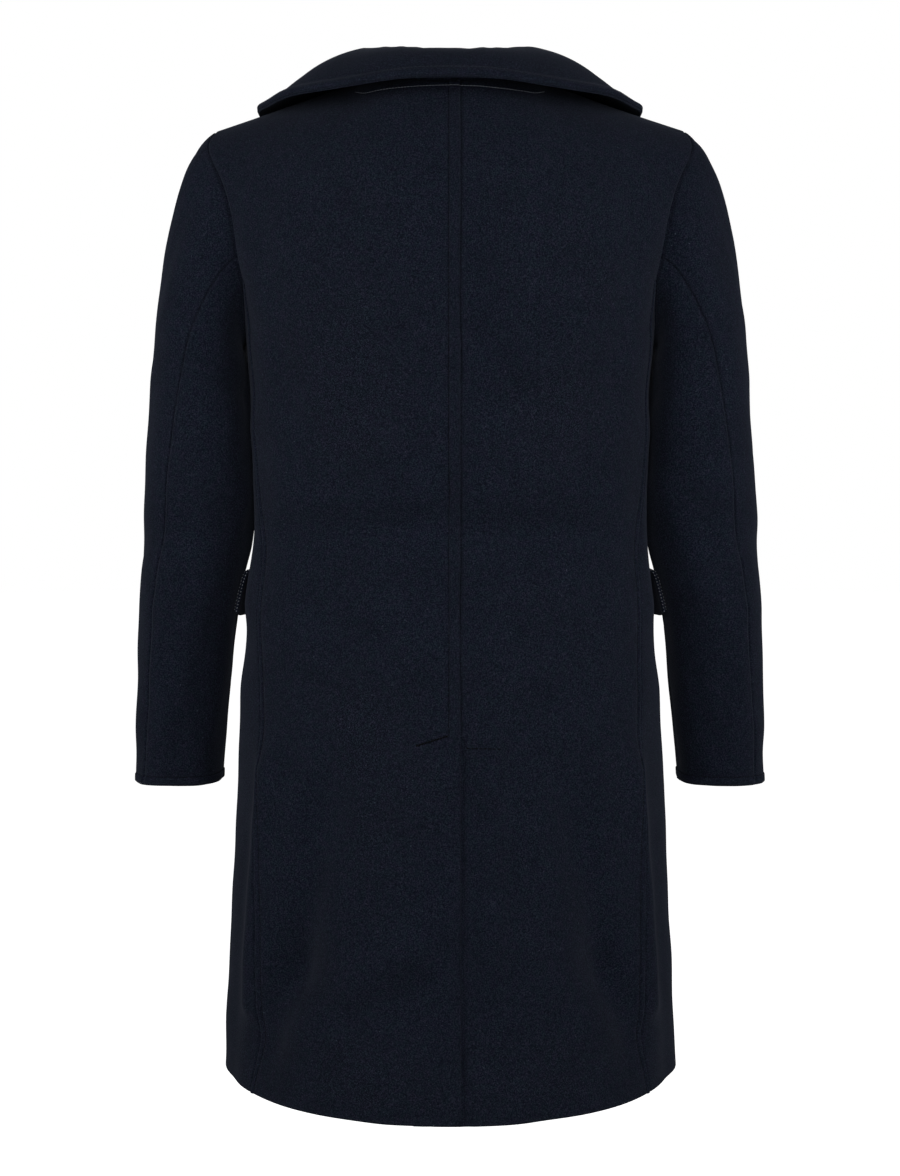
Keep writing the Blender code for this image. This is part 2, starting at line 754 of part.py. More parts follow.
def sleeve_row(height, top_columns, under_columns):
    """The sleeve's ring at a height, from the back seam over the top piece and the under one."""
    seam = table(SLEEVE_RINGS, 5, height)
    top = sleeve_turns(top_columns, TOP_MIDDLE, seam, FRONT_SEAM)
    under = sleeve_turns(under_columns, UNDER_MIDDLE, FRONT_SEAM, seam - 360)
    turn = np.radians(np.concatenate([top, under[1:]]))
    return sleeve_ring(turn, np.full_like(turn, height))


def sleeve_grid(edge, top_columns, under_columns, side):
    """The whole sleeve's points and facing, from the armhole down to the cuff."""
    ring = sleeve_row(SLEEVE_TOP, top_columns, under_columns)
    down = (sleeve_row(SLEEVE_TOP - STEP, top_columns, under_columns) - ring) / STEP
    base = edge.points + edge.onward * HALF_GAP
    crown = smooth(UNDERARM, SHOULDER_TIP[2], edge.points[:, 2])
    way = mixed(np.array(UNDER_WAY), np.array(CROWN_WAY), crown)
    way[:, 1] *= np.clip(edge.points[:, 1] / LEAN_Y, -1, 1)
    way = unit(way)
    first_reach = (UNDER_REACH + CROWN_REACH * crown**1.2)[:, None]
    last_reach = np.linalg.norm(ring - base, axis=-1, keepdims=True) * CAP_SETTLE
    cap = [
        bezier(base, base + way * first_reach, ring - down * last_reach, ring, part)
        for part in np.linspace(0, 1, CAP_ROWS + 1) ** 1.25
    ]
    heights = np.linspace(SLEEVE_TOP, CUFF, ARM_ROWS + 1)[1:]
    points = np.stack(cap + [sleeve_row(height, top_columns, under_columns) for height in heights])
    round_about = np.concatenate([points[:, -2:-1], points, points[:, 1:2]], axis=1)
    out = grid_facing(round_about)[:, 1:-1]
    out = toward(out, points - points.mean(axis=1, keepdims=True))
    out[0] = edge.facing
    x, y, height = np.moveaxis(points, -1, 0)
    turns = np.arctan2(y - table(SLEEVE_RINGS, 3, height), x - sleeve_middle(height))
    turns = np.where(turns < -0.5, turns + 2 * math.pi, turns)
    rise = fold_rise(SLEEVE_FOLDS, turns, height, SLEEVE_RADIUS, float(side > 0))
    rise = rise * smooth(0, 4, np.arange(len(points)))[:, None]
    return points + out * rise[..., None], out


def build_sleeve(side, armhole, finish):
    """Both pieces. The armhole runs from the shoulder tip down behind, under, and up in front."""
    back_seam = UPPER_ROWS - 1
    front_seam = UPPER_ROWS + SIDE_COLUMNS
    behind = part_of(armhole, 0, back_seam + 1)
    beneath = part_of(armhole, back_seam, front_seam + 1)
    ahead = part_of(armhole, front_seam, None)
    edge = chain([reverse_of(part) for part in (behind, ahead, beneath)])
    top_columns = len(behind.points) + len(ahead.points) - 1
    points, out = sleeve_grid(edge, top_columns, len(beneath.points), side)
    pieces = (
        ("top_sleeve", slice(0, top_columns)),
        ("under_sleeve", slice(top_columns - 1, None)),
    )
    for name, columns in pieces:
        piece = drawn_in(points[:, columns], ("first_column", "last_column"), SEAM_GAP)
        add_wall(sided(name, side), piece, out[:, columns], CLOTH, side, finish)


# Collar and lapels. Each is worked out along its underside, from the seam that it rises from,
# up its stand, round the roll and down to its free edge.


def rolled(base, rise_to, outward, heading, radius, bend, rows):
    """The stand, in rows steps, and the roll above it, with the facing of each row."""
    stand = [mixed(base, rise_to, k / rows) for k in range(rows + 1)]
    faced = [outward] * (rows + 1)
    middle = rise_to + outward * radius
    for k in range(1, TURN_ROWS + 1):
        at = (bend * k / TURN_ROWS)[:, None]
        faced.append(outward * np.cos(at) - heading * np.sin(at))
        stand.append(middle - radius * faced[-1])
    return stand, faced


def over_front(up, path, radius, side, stand_rows):
    """A piece rolled at the front's edge and laid back over the front, with its facing."""
    edge = np.ones_like(up)
    base, out = front_points(edge, up, side)
    inside, _ = front_points(edge - STEP, up, side)
    onward = unit(np.cross(np.gradient(base, axis=0), out))
    onward = onward * np.sign(np.sum(onward * (base - inside), axis=-1, keepdims=True))
    start = base + onward * SEAM_GAP
    rise_to = base + onward * LAPEL_STAND
    bend = np.full_like(up, math.pi)
    points, faced = rolled(start, rise_to, out, onward, radius[:, None], bend, stand_rows)
    for k in range(1, FALL_ROWS + 1):
        share = k / FALL_ROWS
        point, direction = front_points(*path(share), side)
        clear = 2 * radius + (LAPEL_CLEAR - 2 * radius) * smooth(0, 1, share)
        points.append(point + direction * clear[:, None])
        faced.append(-direction)
    return np.stack(points), np.stack(faced)


def gorge_path(share):
    """The gorge and the collar's end past it, across and up the front."""
    sewn = min(share, NOTCH) / NOTCH
    free = max(share - NOTCH, 0) / (1 - NOTCH)
    return 1 - GORGE_WIDTH * share, GORGE_UP - GORGE_DROP * sewn + POINT_RISE * free


def lapel_path(share, ups, along):
    """The lapel over the front. Its top follows the gorge to the notch, then goes to its tip."""
    width = LAPEL_START + (LAPEL_WIDTH - LAPEL_START) * along**0.85
    across = 1 - width * share
    up = ups - LAPEL_DROP * along**1.5 * share
    top_across, top_up = gorge_path(min(share, NOTCH))
    past = max(share - NOTCH, 0) / (1 - NOTCH)
    top_across = top_across + (1 - LAPEL_WIDTH - top_across) * past
    top_up = top_up + (GORGE_UP - LAPEL_DROP - top_up) * past - GORGE_GAP
    near_top = smooth(0.72, 1.0, along)
    return across + (top_across - across) * near_top, up + (top_up - up) * near_top


def build_lapel(side, finish):
    rows = body_rows()
    ups = rows[(rows >= LAPEL_FROM - STEP) & (rows <= GORGE_UP + STEP)]
    along = np.linspace(0, 1, len(ups))
    radius = LAPEL_ROLL + (ROLL_RADIUS - LAPEL_ROLL) * along
    ups = ups - GORGE_GAP * smooth(0.8, 1, along)

    def path(share):
        return lapel_path(share, ups, along)

    points, out = over_front(ups, path, radius, side, 1)
    add_wall(sided("lapel", side), points, out, DOUBLED, side, finish)


def laid_end(side):
    """The collar's end, over the front along the gorge, and its facing."""
    ups = GORGE_UP + np.array([-STEP, 0, STEP])

    def path(share):
        across, up = gorge_path(share)
        return np.full(3, across), up + ups - GORGE_UP

    points, out = over_front(ups, path, np.full(3, ROLL_RADIUS), side, STAND_ROWS)
    return points[:, 1], out[:, 1]


def collar_half(neck, roll, side):
    """The collar's underside from the centre back to the gorge, and its seam's facing."""
    front_rows = round((2 - GORGE_UP) * UPPER_ROWS)
    behind = split(neck, NECK_SPLITS)
    ahead = split(reverse_of(part_of(roll, -front_rows - 1, None)), FRONT_SPLITS)
    edge = chain([behind, ahead])
    x, y = behind.points[:, 0], behind.points[:, 1]
    turn = np.arctan2(x / SIDE_NECK[0], (y - SIDE_NECK[1]) / (NAPE_Y - SIDE_NECK[1]))
    share = np.concatenate([turn / math.pi, np.linspace(0.5, 1, len(ahead.points))[1:]])
    mirrored = [(-row[0], -row[1], *row[2:]) for row in COLLAR[1:]]
    sizes = [table(mirrored + list(COLLAR), column, share) for column in range(1, 6)]
    free = joined(*sizes[:3])
    stand, droop = sizes[3:]
    base = edge.points + edge.onward * (HALF_GAP + HALF_GAP * smooth(0.3, 0.5, share))[:, None]
    heading = unit(mixed(joined(0 * share, 0, 1), edge.onward, smooth(0.5, 1.0, share)))
    rise_to = base + heading * stand[:, None]
    away = free - rise_to
    outward = unit(away - heading * np.sum(away * heading, axis=-1, keepdims=True))
    bend = np.arctan2(np.sum(away * outward, axis=-1), np.sum(away * heading, axis=-1))
    bend = np.minimum(bend + 0.25, math.pi)
    rows, _ = rolled(base, rise_to, outward, heading, ROLL_RADIUS, bend, STAND_ROWS)
    start = rows[-1]
    span = free - start
    lift = unit(np.cross(np.cross(span, heading), span))
    for k in range(1, FALL_ROWS + 1):
        part = k / FALL_ROWS
        rows.append(start + span * part + lift * (droop * math.sin(math.pi * part))[:, None])
    points = np.stack(rows)
    end, _ = laid_end(side)
    near_end = smooth(END_COLUMNS, 0, np.arange(len(share))[::-1])
    points = points + (end - points[:, -1])[:, None] * near_end[:, None]
    return points, edge.facing


def build_collar(necks, rolls, finish):
    halves = {side: collar_half(necks[side], rolls[side], side) for side in (1, -1)}
    points, first = (
        np.concatenate([right[..., ::-1, :] * MIRROR, left[..., 1:, :]], axis=-2)
        for right, left in zip(halves[-1], halves[1])
    )
    out = grid_facing(points)
    out = out * np.sign(np.sum(out[1] * first))
    out[0] = first
    out[:, 0] = laid_end(-1)[1] * MIRROR
    out[:, -1] = laid_end(1)[1]
    add_wall("collar", points, out, DOUBLED, 1, finish)


# Pocket flaps and buttons


def flap_surface(across, down):
    turn = np.radians(FLAP_FROM + (FLAP_TO - FLAP_FROM) * across)
    corner = 1 - smooth(0, FLAP_CORNER, np.minimum(across, 1 - across))
    return ring_point(turn, FLAP_TOP - FLAP_HEIGHT * down * (1 - 0.10 * corner))


def build_flap(side, finish):
    across, down = grid(np.linspace(0, 1, FLAP_COLUMNS + 1), np.linspace(0, 1, FLAP_ROWS + 1))
    flat = flap_surface(across, down)
    out = -facing(flap_surface, across, down, 1.0)
    flare = FLAP_FLARE_REAR + (FLAP_FLARE_FRONT - FLAP_FLARE_REAR) * smooth(0, 0.55, across)
    clear = 2 * SEAM_GAP + flare * down**FLAP_FLARE_BEND
    points = flat + out * (body_rise(flat, side) + clear)[..., None]
    add_wall(sided("pocket_flap", side), points, -out, DOUBLED, side, finish)


def build_button(name, height, finish):
    """A dished button on its thread shank, turned about the way that the front faces."""
    flat = ring_point(np.array([math.pi]), np.array([height]))[0]
    seat = flat - np.array([0, body_rise(flat, 1) + SEAM_GAP, 0])
    inside = BUTTON_RADIUS - BUTTON_RIM
    top = BUTTON_LIFT + BUTTON_THICK
    profile = (
        # radius, distance out from the cloth
        (BUTTON_SHANK, 0),
        (BUTTON_SHANK, BUTTON_LIFT),
        (inside, BUTTON_LIFT),
        (BUTTON_RADIUS, BUTTON_LIFT + BUTTON_RIM),
        (BUTTON_RADIUS, top - BUTTON_RIM),
        (inside, top),
        (inside - 2 * BUTTON_RIM, top - BUTTON_RIM),
    )
    turn = 2 * math.pi * np.arange(BUTTON_SIDES) / BUTTON_SIDES
    rings = [seat + joined(r * np.cos(turn), -away, r * np.sin(turn)) for r, away in profile]
    hollow = seat - np.array([0, top - BUTTON_RIM, 0])
    points = np.concatenate([*rings, seat[None], hollow[None]])
    first_end = len(profile) * BUTTON_SIDES
    last_ring = first_end - BUTTON_SIDES
    faces = []
    for k in range(BUTTON_SIDES):
        after = (k + 1) % BUTTON_SIDES
        faces.append((first_end, after, k))
        faces.append((first_end + 1, last_ring + k, last_ring + after))
        for low in range(0, last_ring, BUTTON_SIDES):
            high = low + BUTTON_SIDES
            faces.append((low + k, low + after, high + after, high + k))
    add_object(name, points, faces, 1, finish)


def main():
    for old in list(bpy.data.objects):
        bpy.data.objects.remove(old, do_unlink=True)
    wool = material("wool_melton", (0.0085, 0.0105, 0.0185), 0.9)
    horn = material("horn_button", (0.012, 0.012, 0.016), 0.35)
    rolls = {}
    necks = {}
    for side in (1, -1):
        necks[side], behind = build_back(side, wool)
        beneath = build_side(side, wool)
        rolls[side], ahead = build_front(side, wool)
        build_sleeve(side, chain([reverse_of(behind), beneath, ahead]), wool)
        build_lapel(side, wool)
        build_flap(side, wool)
    build_collar(necks, rolls, wool)
    for name, height in BUTTONS:
        build_button(name, height, horn)


main()
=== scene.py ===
"""The looks of a long navy wool overcoat, worked out from the same sizes as its solids.

Metres. The coat faces -Y, its wearer's left is +X and Z is up. Each panel is cut again from the
solid's own sizes, more finely, with its creases, seams, pressed edges and stitching.
"""

import collections
import math

import bpy
import numpy as np
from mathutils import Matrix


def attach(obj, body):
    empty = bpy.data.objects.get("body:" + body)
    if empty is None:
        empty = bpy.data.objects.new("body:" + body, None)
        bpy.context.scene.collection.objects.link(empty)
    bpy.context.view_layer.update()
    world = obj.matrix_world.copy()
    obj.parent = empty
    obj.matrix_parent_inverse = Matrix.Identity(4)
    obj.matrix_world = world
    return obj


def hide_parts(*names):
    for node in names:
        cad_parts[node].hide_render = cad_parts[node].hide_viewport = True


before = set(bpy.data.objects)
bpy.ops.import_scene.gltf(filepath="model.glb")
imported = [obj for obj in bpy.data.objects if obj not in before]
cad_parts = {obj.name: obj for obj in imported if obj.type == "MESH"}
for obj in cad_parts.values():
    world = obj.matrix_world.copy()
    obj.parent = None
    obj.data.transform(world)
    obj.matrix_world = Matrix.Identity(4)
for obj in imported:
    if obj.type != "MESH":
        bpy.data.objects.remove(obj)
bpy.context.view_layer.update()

# Cloth
CLOTH = 0.0028
SEAM_GAP = 0.0003
HALF_GAP = SEAM_GAP / 2
# Heights on the body
HEM = -0.984
HEM_SWING = 0.007  # the hem is this much lower at the back, and higher at the front
JOIN = -0.190  # where the side seams meet the armhole
UNDERARM = -0.246
BREAK = -0.355  # where the lapels start to roll
VENT_TOP = -0.628
# Neck and shoulder
NAPE_Y = 0.085
SIDE_NECK = (0.088, 0.004, 0.014)
SHOULDER_TIP = (0.2360, -0.004, -0.0335)
SHOULDER_HOLLOW = 0.0005
ARMHOLE_HOLLOW = 2.6  # the power by which the side panel's top sinks toward its middle
ARMHOLE_FADE = 4  # the power by which a panel's fit to the armhole fades across it
# How the back and front run on from the height of JOIN, up and over to the neck and shoulder:
# how steeply they arrive there, in degrees, and how far the curve holds each end's direction
NECK_CLIMB = 60
NECK_FADE = 1.25  # of the neck's share of the back, over which the climb fades
FRONT_NECK_CLIMB = 35
FRONT_NECK_FROM = 0.55  # across the front, where its climb starts
LEAVE_SHARE = 0.60
BACK_REACH = 0.052
BACK_REACH_MORE = 0.012
FRONT_REACH = 0.050
FRONT_REACH_MORE = 0.010
# Edges near the middle, measured to the wearer's left
BACK_SEAM_X = -0.0104
FRONT_EDGE_X = -0.028
ROLL_JOIN_X = 0.026  # the roll line where it passes the height of JOIN
# Vent, and the fronts' overlap
UNDERLAP = 0.045
UNDERLAP_STEP = (0.0070, 0.0015)  # from the seam, where the right back steps down to it
SEAM_MEET = 0.0001  # how far each back runs past the middle seam, so that no light shows through
UNDERLAP_DEPTH = CLOTH + SEAM_GAP
OVERLAP_DEPTH = CLOTH + 0.0006
LAPEL_DEPTH = 0.0120  # the right front lies this deep where its lapel passes under the left front
LAP_FADE = (0.032, 0.115)  # how far to the side the right front is back at its own depth
LAP_TOP = (JOIN - 0.06, JOIN + 0.02)
LAPEL_LAP_FOOT = (BREAK - 0.07, BREAK - 0.01)
LAPEL_LAP_TOP = (JOIN - 0.03, JOIN + 0.07)
# The girth, by height: half width, depth of the back and of the front, how square the ring is,
# and how far back and forward the side panel's seams lie
RINGS = (
    # height, half_width, back, front, square, back_seam, front_seam
    (-0.990, 0.2293, 0.1945, 0.1640, 2.10, 0.103, -0.088),
    (-0.870, 0.2236, 0.1810, 0.1580, 2.18, 0.105, -0.084),
    (-0.744, 0.2167, 0.1650, 0.1500, 2.30, 0.098, -0.078),
    (-0.620, 0.2110, 0.1480, 0.1420, 2.40, 0.083, -0.070),
    (-0.540, 0.2068, 0.1350, 0.1360, 2.48, 0.070, -0.064),
    (-0.477, 0.2022, 0.1250, 0.1310, 2.55, 0.061, -0.060),
    (-0.420, 0.1966, 0.1190, 0.1280, 2.62, 0.052, -0.056),
    (-0.330, 0.1985, 0.1230, 0.1310, 2.75, 0.050, -0.054),
    (-0.250, 0.2040, 0.1310, 0.1350, 2.88, 0.053, -0.057),
    (-0.190, 0.2085, 0.1340, 0.1340, 3.00, 0.058, -0.060),
)
# The armhole above the side panel, from the seams' height to the shoulder tip
ARMHOLE = (
    # share, back_x, back_y, back_z, front_x, front_y, front_z
    (0.150, 0.2088, 0.0640, -0.1630, 0.2070, -0.0660, -0.1600),
    (0.355, 0.2150, 0.0620, -0.1270, 0.2120, -0.0660, -0.1220),
    (0.600, 0.2277, 0.0480, -0.0865, 0.2235, -0.0520, -0.0830),
    (0.840, 0.2415, 0.0200, -0.0510, 0.2375, -0.0270, -0.0505),
)
# The sleeve below its cap
SLEEVE_TOP = -0.270
CUFF = -0.702
SLEEVE_RINGS = (
    # height, outer_x, inner_x, middle_y, half_depth, back_seam
    (-0.2700, 0.3000, 0.2052, -0.006, 0.0770, 83.0),
    (-0.3300, 0.3050, 0.2014, -0.009, 0.0735, 74.5),
    (-0.3900, 0.3105, 0.1992, -0.013, 0.0695, 68.1),
    (-0.4300, 0.3137, 0.1992, -0.017, 0.0665, 64.8),
    (-0.4576, 0.3155, 0.2065, -0.020, 0.0650, 63.1),
    (-0.4990, 0.3180, 0.2177, -0.026, 0.0628, 61.1),
    (-0.5404, 0.3205, 0.2238, -0.033, 0.0608, 59.4),
    (-0.5820, 0.3227, 0.2287, -0.041, 0.0590, 57.8),
    (-0.6237, 0.3253, 0.2332, -0.049, 0.0573, 56.5),
    (-0.6655, 0.3280, 0.2383, -0.057, 0.0557, 55.2),
    (-0.7020, 0.3305, 0.2415, -0.063, 0.0543, 54.3),
)
SLEEVE_SQUARE = 2.70
# The way that the sleeve leaves the armhole, at its crown and under the arm, and how far it holds
# that way, with the share of the way back up that it holds the arm's own
CROWN_WAY = (0.85, 0.30, -0.53)
UNDER_WAY = (0.95, 0.25, -0.25)
LEAN_Y = 0.05
UNDER_REACH = 0.009
CROWN_REACH = 0.034
CAP_SETTLE = 0.40
CROWN_BEND = 1.2  # the crown's reach grows with this power of the way up
CAP_BEND = 1.25  # the power by which the cap's rows close up toward the armhole
CAP_FADE = 4  # rows below the armhole over which the folds fade in
TURN_START = -0.5  # where the angles round a sleeve start, in radians
SLEEVE_RADIUS = 0.06
# Each piece's middle line, its share of the way from seam to seam and its angle round the sleeve
TOP_MIDDLE = (0.5, 0.0)
UNDER_MIDDLE = (3 / 7, -180.0)
FRONT_SEAM = -132.0
# The collar's free edge and the height of its stand, from the centre back round the side of the
# neck, at 0.5, to the gorge
COLLAR = (
    # share, edge_x, edge_y, edge_z, stand, droop
    (0.00, 0.0000, 0.1270, -0.0058, 0.0235, 0.0075),
    (0.13, 0.0430, 0.1265, -0.0068, 0.0236, 0.0075),
    (0.26, 0.0860, 0.1220, -0.0120, 0.0228, 0.0080),
    (0.38, 0.1230, 0.1070, -0.0150, 0.0228, 0.0085),
    (0.50, 0.1580, 0.0780, -0.0160, 0.0220, 0.0085),
    (0.62, 0.1815, 0.0380, -0.0188, 0.0185, 0.0070),
    (0.74, 0.1930, -0.0030, -0.0185, 0.0140, 0.0050),
    (0.86, 0.1840, -0.0370, -0.0285, 0.0080, 0.003),
    (1.00, 0.1630, -0.0583, -0.0378, 0.0012, 0.002),
)
ROLL_RADIUS = 0.0022
SEAM_OPENS = (0.3, 0.5)  # shares between which the seam's gap goes from a half to the whole
STAND_LEANS = (0.5, 1.0)  # shares between which the stand leans over onto the front
COLLAR_TUCK = 0.25  # how much further than its edge's direction the roll turns, in radians
# The gorge, where collar and lapel meet, and the notch at its end, across and up the front
GORGE_UP = 1.75
GORGE_WIDTH = 0.55
GORGE_DROP = 0.11
NOTCH = 0.60  # share of the gorge that is sewn, beyond which the notch is open
POINT_RISE = 0.02
GORGE_GAP = 0.003
# Lapels, across and up the front from the roll line
LAPEL_FROM = 19 / 24
LAPEL_WIDTH = 0.62
LAPEL_START = 0.05
LAPEL_DROP = 0.26
LAPEL_STAND = 0.0012
LAPEL_ROLL = 0.0009  # the roll's radius at the break
LAPEL_CLEAR = 0.0022
LAPEL_SWELL = 0.85  # the power by which it widens up the front
LAPEL_SWEEP = 1.5  # the power by which its rows drop
LAPEL_TOP_FROM = 0.72  # the share of the way up at which its rows start to follow the gorge
LAPEL_END_FROM = 0.8  # and at which they start to draw back from it
LAPEL_STAND_ROWS = 2
# Pocket flaps, by the angle round the body
FLAP_TOP = -0.4765
FLAP_HEIGHT = 0.050
FLAP_FROM = 89.0
FLAP_TO = 138.0
FLAP_FLARE_REAR = 0.0105
FLAP_FLARE_FRONT = 0.0050
FLAP_FLARE_BEND = 0.5  # the flare grows with this power of the way down
FLAP_FLARE_TO = 0.55  # across the flap, where its flare has become the front one
FLAP_CORNER = 0.16
FLAP_SLANT = 0.10  # how much shorter its ends are than its middle
# Buttons
BUTTON_RADIUS = 0.0140
BUTTON_THICK = 0.0042
BUTTON_RIM = 0.0012
BUTTON_SHANK = 0.0035
BUTTON_LIFT = 0.0020
BUTTONS = (("button_top", -0.385), ("button_middle", -0.510), ("button_low", -0.635))
# The largest folds, soft ridges and troughs on the body's panels. An angle is measured round
# the body in degrees, from 0 at the centre back through 90 at the side to 180 at the front.
BODY_FOLDS = (
    # from_angle, from_z, to_angle, to_z, half_width, rise, left, right
    (38, -0.680, 46, -0.850, 0.028, -0.0085, 1.0, 0.9),
    (46, -0.850, 56, -0.930, 0.030, -0.0085, 1.0, 0.9),
    (61, -0.660, 64, -0.900, 0.018, 0.0055, 0.9, 1.0),
    (28, -0.900, 3, -0.852, 0.028, -0.0030, 1.0, 0.4),
    (13, -0.630, 13, -0.880, 0.022, 0.0035, 0.2, 1.0),
    (4, -0.440, 70, -0.455, 0.032, -0.0050, 1.0, 0.9),
    (6, -0.368, 60, -0.362, 0.030, 0.0045, 0.9, 1.0),
    (16, -0.110, 20, -0.240, 0.020, 0.0035, 0.4, 1.0),
    (62, -0.120, 58, -0.300, 0.020, -0.0040, 1.0, 0.9),
    (30, -0.520, 42, -0.640, 0.024, 0.0035, 1.0, 0.7),
    (98, -0.640, 104, -0.990, 0.028, -0.0060, 1.0, 0.8),
    (82, -0.600, 84, -0.990, 0.026, 0.0040, 0.8, 1.0),
    (128, -0.620, 132, -0.990, 0.030, -0.0060, 0.9, 1.0),
    (146, -0.560, 150, -0.990, 0.028, 0.0045, 1.0, 0.8),
    (160, -0.400, 125, -0.430, 0.030, -0.0035, 1.0, 0.8),
    (118, -0.110, 124, -0.300, 0.022, -0.0040, 1.0, 0.9),
)
FOLD_END = 1.3  # how far a fold fades out past its ends, in half widths
BODY_RADIUS = 0.19
BLEND_X = 0.03  # within this of the middle, the left side's folds fade into the right side's
# Folds on the sleeves: turn is the angle round the sleeve, 0 outside, 90 behind, 180 inside
SLEEVE_FOLDS = (
    # from_turn, from_z, to_turn, to_z, half_width, rise, left, right
    (150, -0.300, 60, -0.255, 0.016, -0.0035, 1.0, 0.8),
    (160, -0.430, 40, -0.450, 0.018, -0.0040, 1.0, 0.9),
    (170, -0.400, 95, -0.385, 0.016, 0.0030, 0.8, 1.0),
    (125, -0.470, 110, -0.640, 0.018, -0.0035, 1.0, 0.9),
    (200, -0.440, 290, -0.455, 0.017, -0.0045, 1.0, 0.9),
    (235, -0.470, 290, -0.500, 0.014, 0.0035, 0.8, 1.0),
    (300, -0.300, 250, -0.380, 0.018, -0.0035, 1.0, 0.8),
    (20, -0.520, 35, -0.640, 0.020, 0.0025, 0.7, 1.0),
)
STEP = 1e-3  # of a surface's own measure, for its slopes
MIRROR = np.array([-1.0, 1.0, 1.0])

# How finely the cloth is divided, before its edges are drawn finer still
FINER = 6
BACK_COLUMNS = 13 * FINER
NECK_COLUMNS = 7 * FINER
FRONT_COLUMNS = 9 * FINER
SIDE_COLUMNS = 6 * FINER
LOWER_ROWS = 24 * FINER
UPPER_ROWS = 8 * FINER
CAP_ROWS = 32
ARM_ROWS = 110
STAND_ROWS = 8
TURN_ROWS = 10
FALL_ROWS = 26
END_COLUMNS = 12
FLAP_COLUMNS = 60
FLAP_ROWS = 16
LAP_COLUMNS = 10
CELL = 0.0042  # the size of a face away from the edges

# The cloth as it looks: its wall, its seams, and the stitching beside them
SHELL = 0.0026
SHELL_DOUBLED = 0.0042
EDGE_ROUND = 0.97  # how much of half the wall is drawn in at a free edge
VENT_CORNER = 0.008  # the radius of the left back's corner, where the vent meets the hem
SEAM_END = 0.004  # half the height over which a seam's relief ends, at the vent and the armhole
ROLL_FADE = 0.030  # below the break, over which the front's stitched edge ends
ROLL_STITCH_END = 0.015
# The softening of the bend below the neck point: its width in columns, how far it counts and how
# far it reaches, in such widths, and the rows below the shoulder over which it comes in
EASE_COLUMNS = 6
EASE_SPREAD = 3
EASE_REACH = 2.5
EASE_ROWS = 8
NARROWEST = 0.85  # the share of a narrow place that the rows beside both edges may take
NEAR_SEAM = (0, 0.0004, 0.0009, 0.0015, 0.0023, 0.0034)
NEAR_EDGE = (0, 0.0002, 0.0006, 0.0012, 0.0019, 0.0030, 0.0045)
SEAM_DIP = 0.0015
SEAM_WIDTH = 0.0013
WELT_RISE = 0.0011
WELT_FROM = (0.0006, 0.0020)  # beside a seam or edge, where the cloth rises onto the allowance
WELT_FALL = 0.0016  # past the stitching, over which it comes down again
STITCH_DIP = 0.0018
STITCH_WIDTH = 0.0008
BESIDE_STITCH = (-1.6, -0.8, 0, 0.8, 1.6)  # the columns beside a line of stitching, in such widths
STITCH_CLEAR = 0.0003  # from them to the columns before
CENTRE_STITCH = 0.0117  # from the centre-back seam
SIDE_STITCH = 0.0062  # from the side-back seams
CUFF_STITCH = 0.0100
EDGE_STITCH = 0.0095  # from the edges of the collar, lapels and fronts
COLLAR_WELT = 0.0012  # how much further the collar's and lapels' edges are raised
COLLAR_WELT_FROM = (0.0003, 0.0016)
COLLAR_WELT_TO = (EDGE_STITCH - 0.0002, EDGE_STITCH + 0.0014)
STITCHED_WIDTH = (2.5 * EDGE_STITCH, 3.5 * EDGE_STITCH)  # how wide a lapel is where stitching starts
FLAP_STITCH = 0.0034
# A free edge with its two turned layers, in order in from the rim: how far in each row lies, and
# how far both faces draw in there, as a share of half the wall
DOUBLE_EDGE = (
    # place, drawn
    (0.0012, EDGE_ROUND),
    (0.0002, 0.74),
    (0.0000, 0.46),
    (0.0002, 0.22),
    (0.0007, 0.05),
)
NEAR_DOUBLE = (0, 0.0002, 0.0004, 0.0007, 0.0011, 0.0019, 0.0030, 0.0045)
# The undercollar's felt, laid over the nape seam and felled along its edge
FELT_EDGE = (
    # distance from the middle, height of the felled edge
    (0, -0.0053),
    (0.030, -0.0059),
    (0.058, -0.0074),
    (0.072, -0.0087),
    (0.081, -0.0098),
    (0.086, -0.0088),
    (0.095, -0.0046),
)
FELT_REACH = (0.086, 0.095)
FELT_RISE = 0.0009
FELT_STEP = 0.0015  # half the height over which the felt's edge rises
NEAR_FELT = NEAR_SEAM + (0.0060, 0.0085, 0.0110, 0.0135, 0.0160, 0.0190)

Stitches = collections.namedtuple("Stitches", "pitch length radius")
STITCH_FORM = (
    # share of the stitch, height above the cloth, girth
    (-0.50, -0.6, 0.3),
    (-0.36, 0.5, 0.9),
    (0.00, 0.9, 1.0),
    (0.36, 0.5, 0.9),
    (0.50, -0.6, 0.3),
)
STITCH_SIDES = 6
TOPSTITCH = Stitches(0.0038, 0.0031, 0.00032)
FELLING = Stitches(0.0030, 0.0029, 0.00025)
PRICK = Stitches(0.0034, 0.0012, 0.0005)
STAY = Stitches(0.0027, 0.0028, 0.0009)
TACK = Stitches(0.0042, 0.0034, 0.0005)
PURL = Stitches(0.0007, 0.0006, 0.00032)
# Short rows of stitching: the stay across the vent's top, on the left back and on the right back,
# from one place to another, each a distance from the middle and a height
VENT_STAY = (
    ("left", (0.0020, -0.6270), (0.0325, -0.6365), STAY),
    ("right", (0.0150, -0.6385), (0.0475, -0.6395), TACK),
)
# Buttonholes, along the front from near its edge, with a rounded end there
HOLE_FROM = -0.003
HOLE_TO = 0.022
HOLE_HALF = 0.0016
EYELET = 0.0028
EYELET_OPEN = 50  # degrees on each side, where the eyelet meets the lips
EYELET_STEPS = 18
HOLE_STEPS = 159
STAY_STEPS = 39
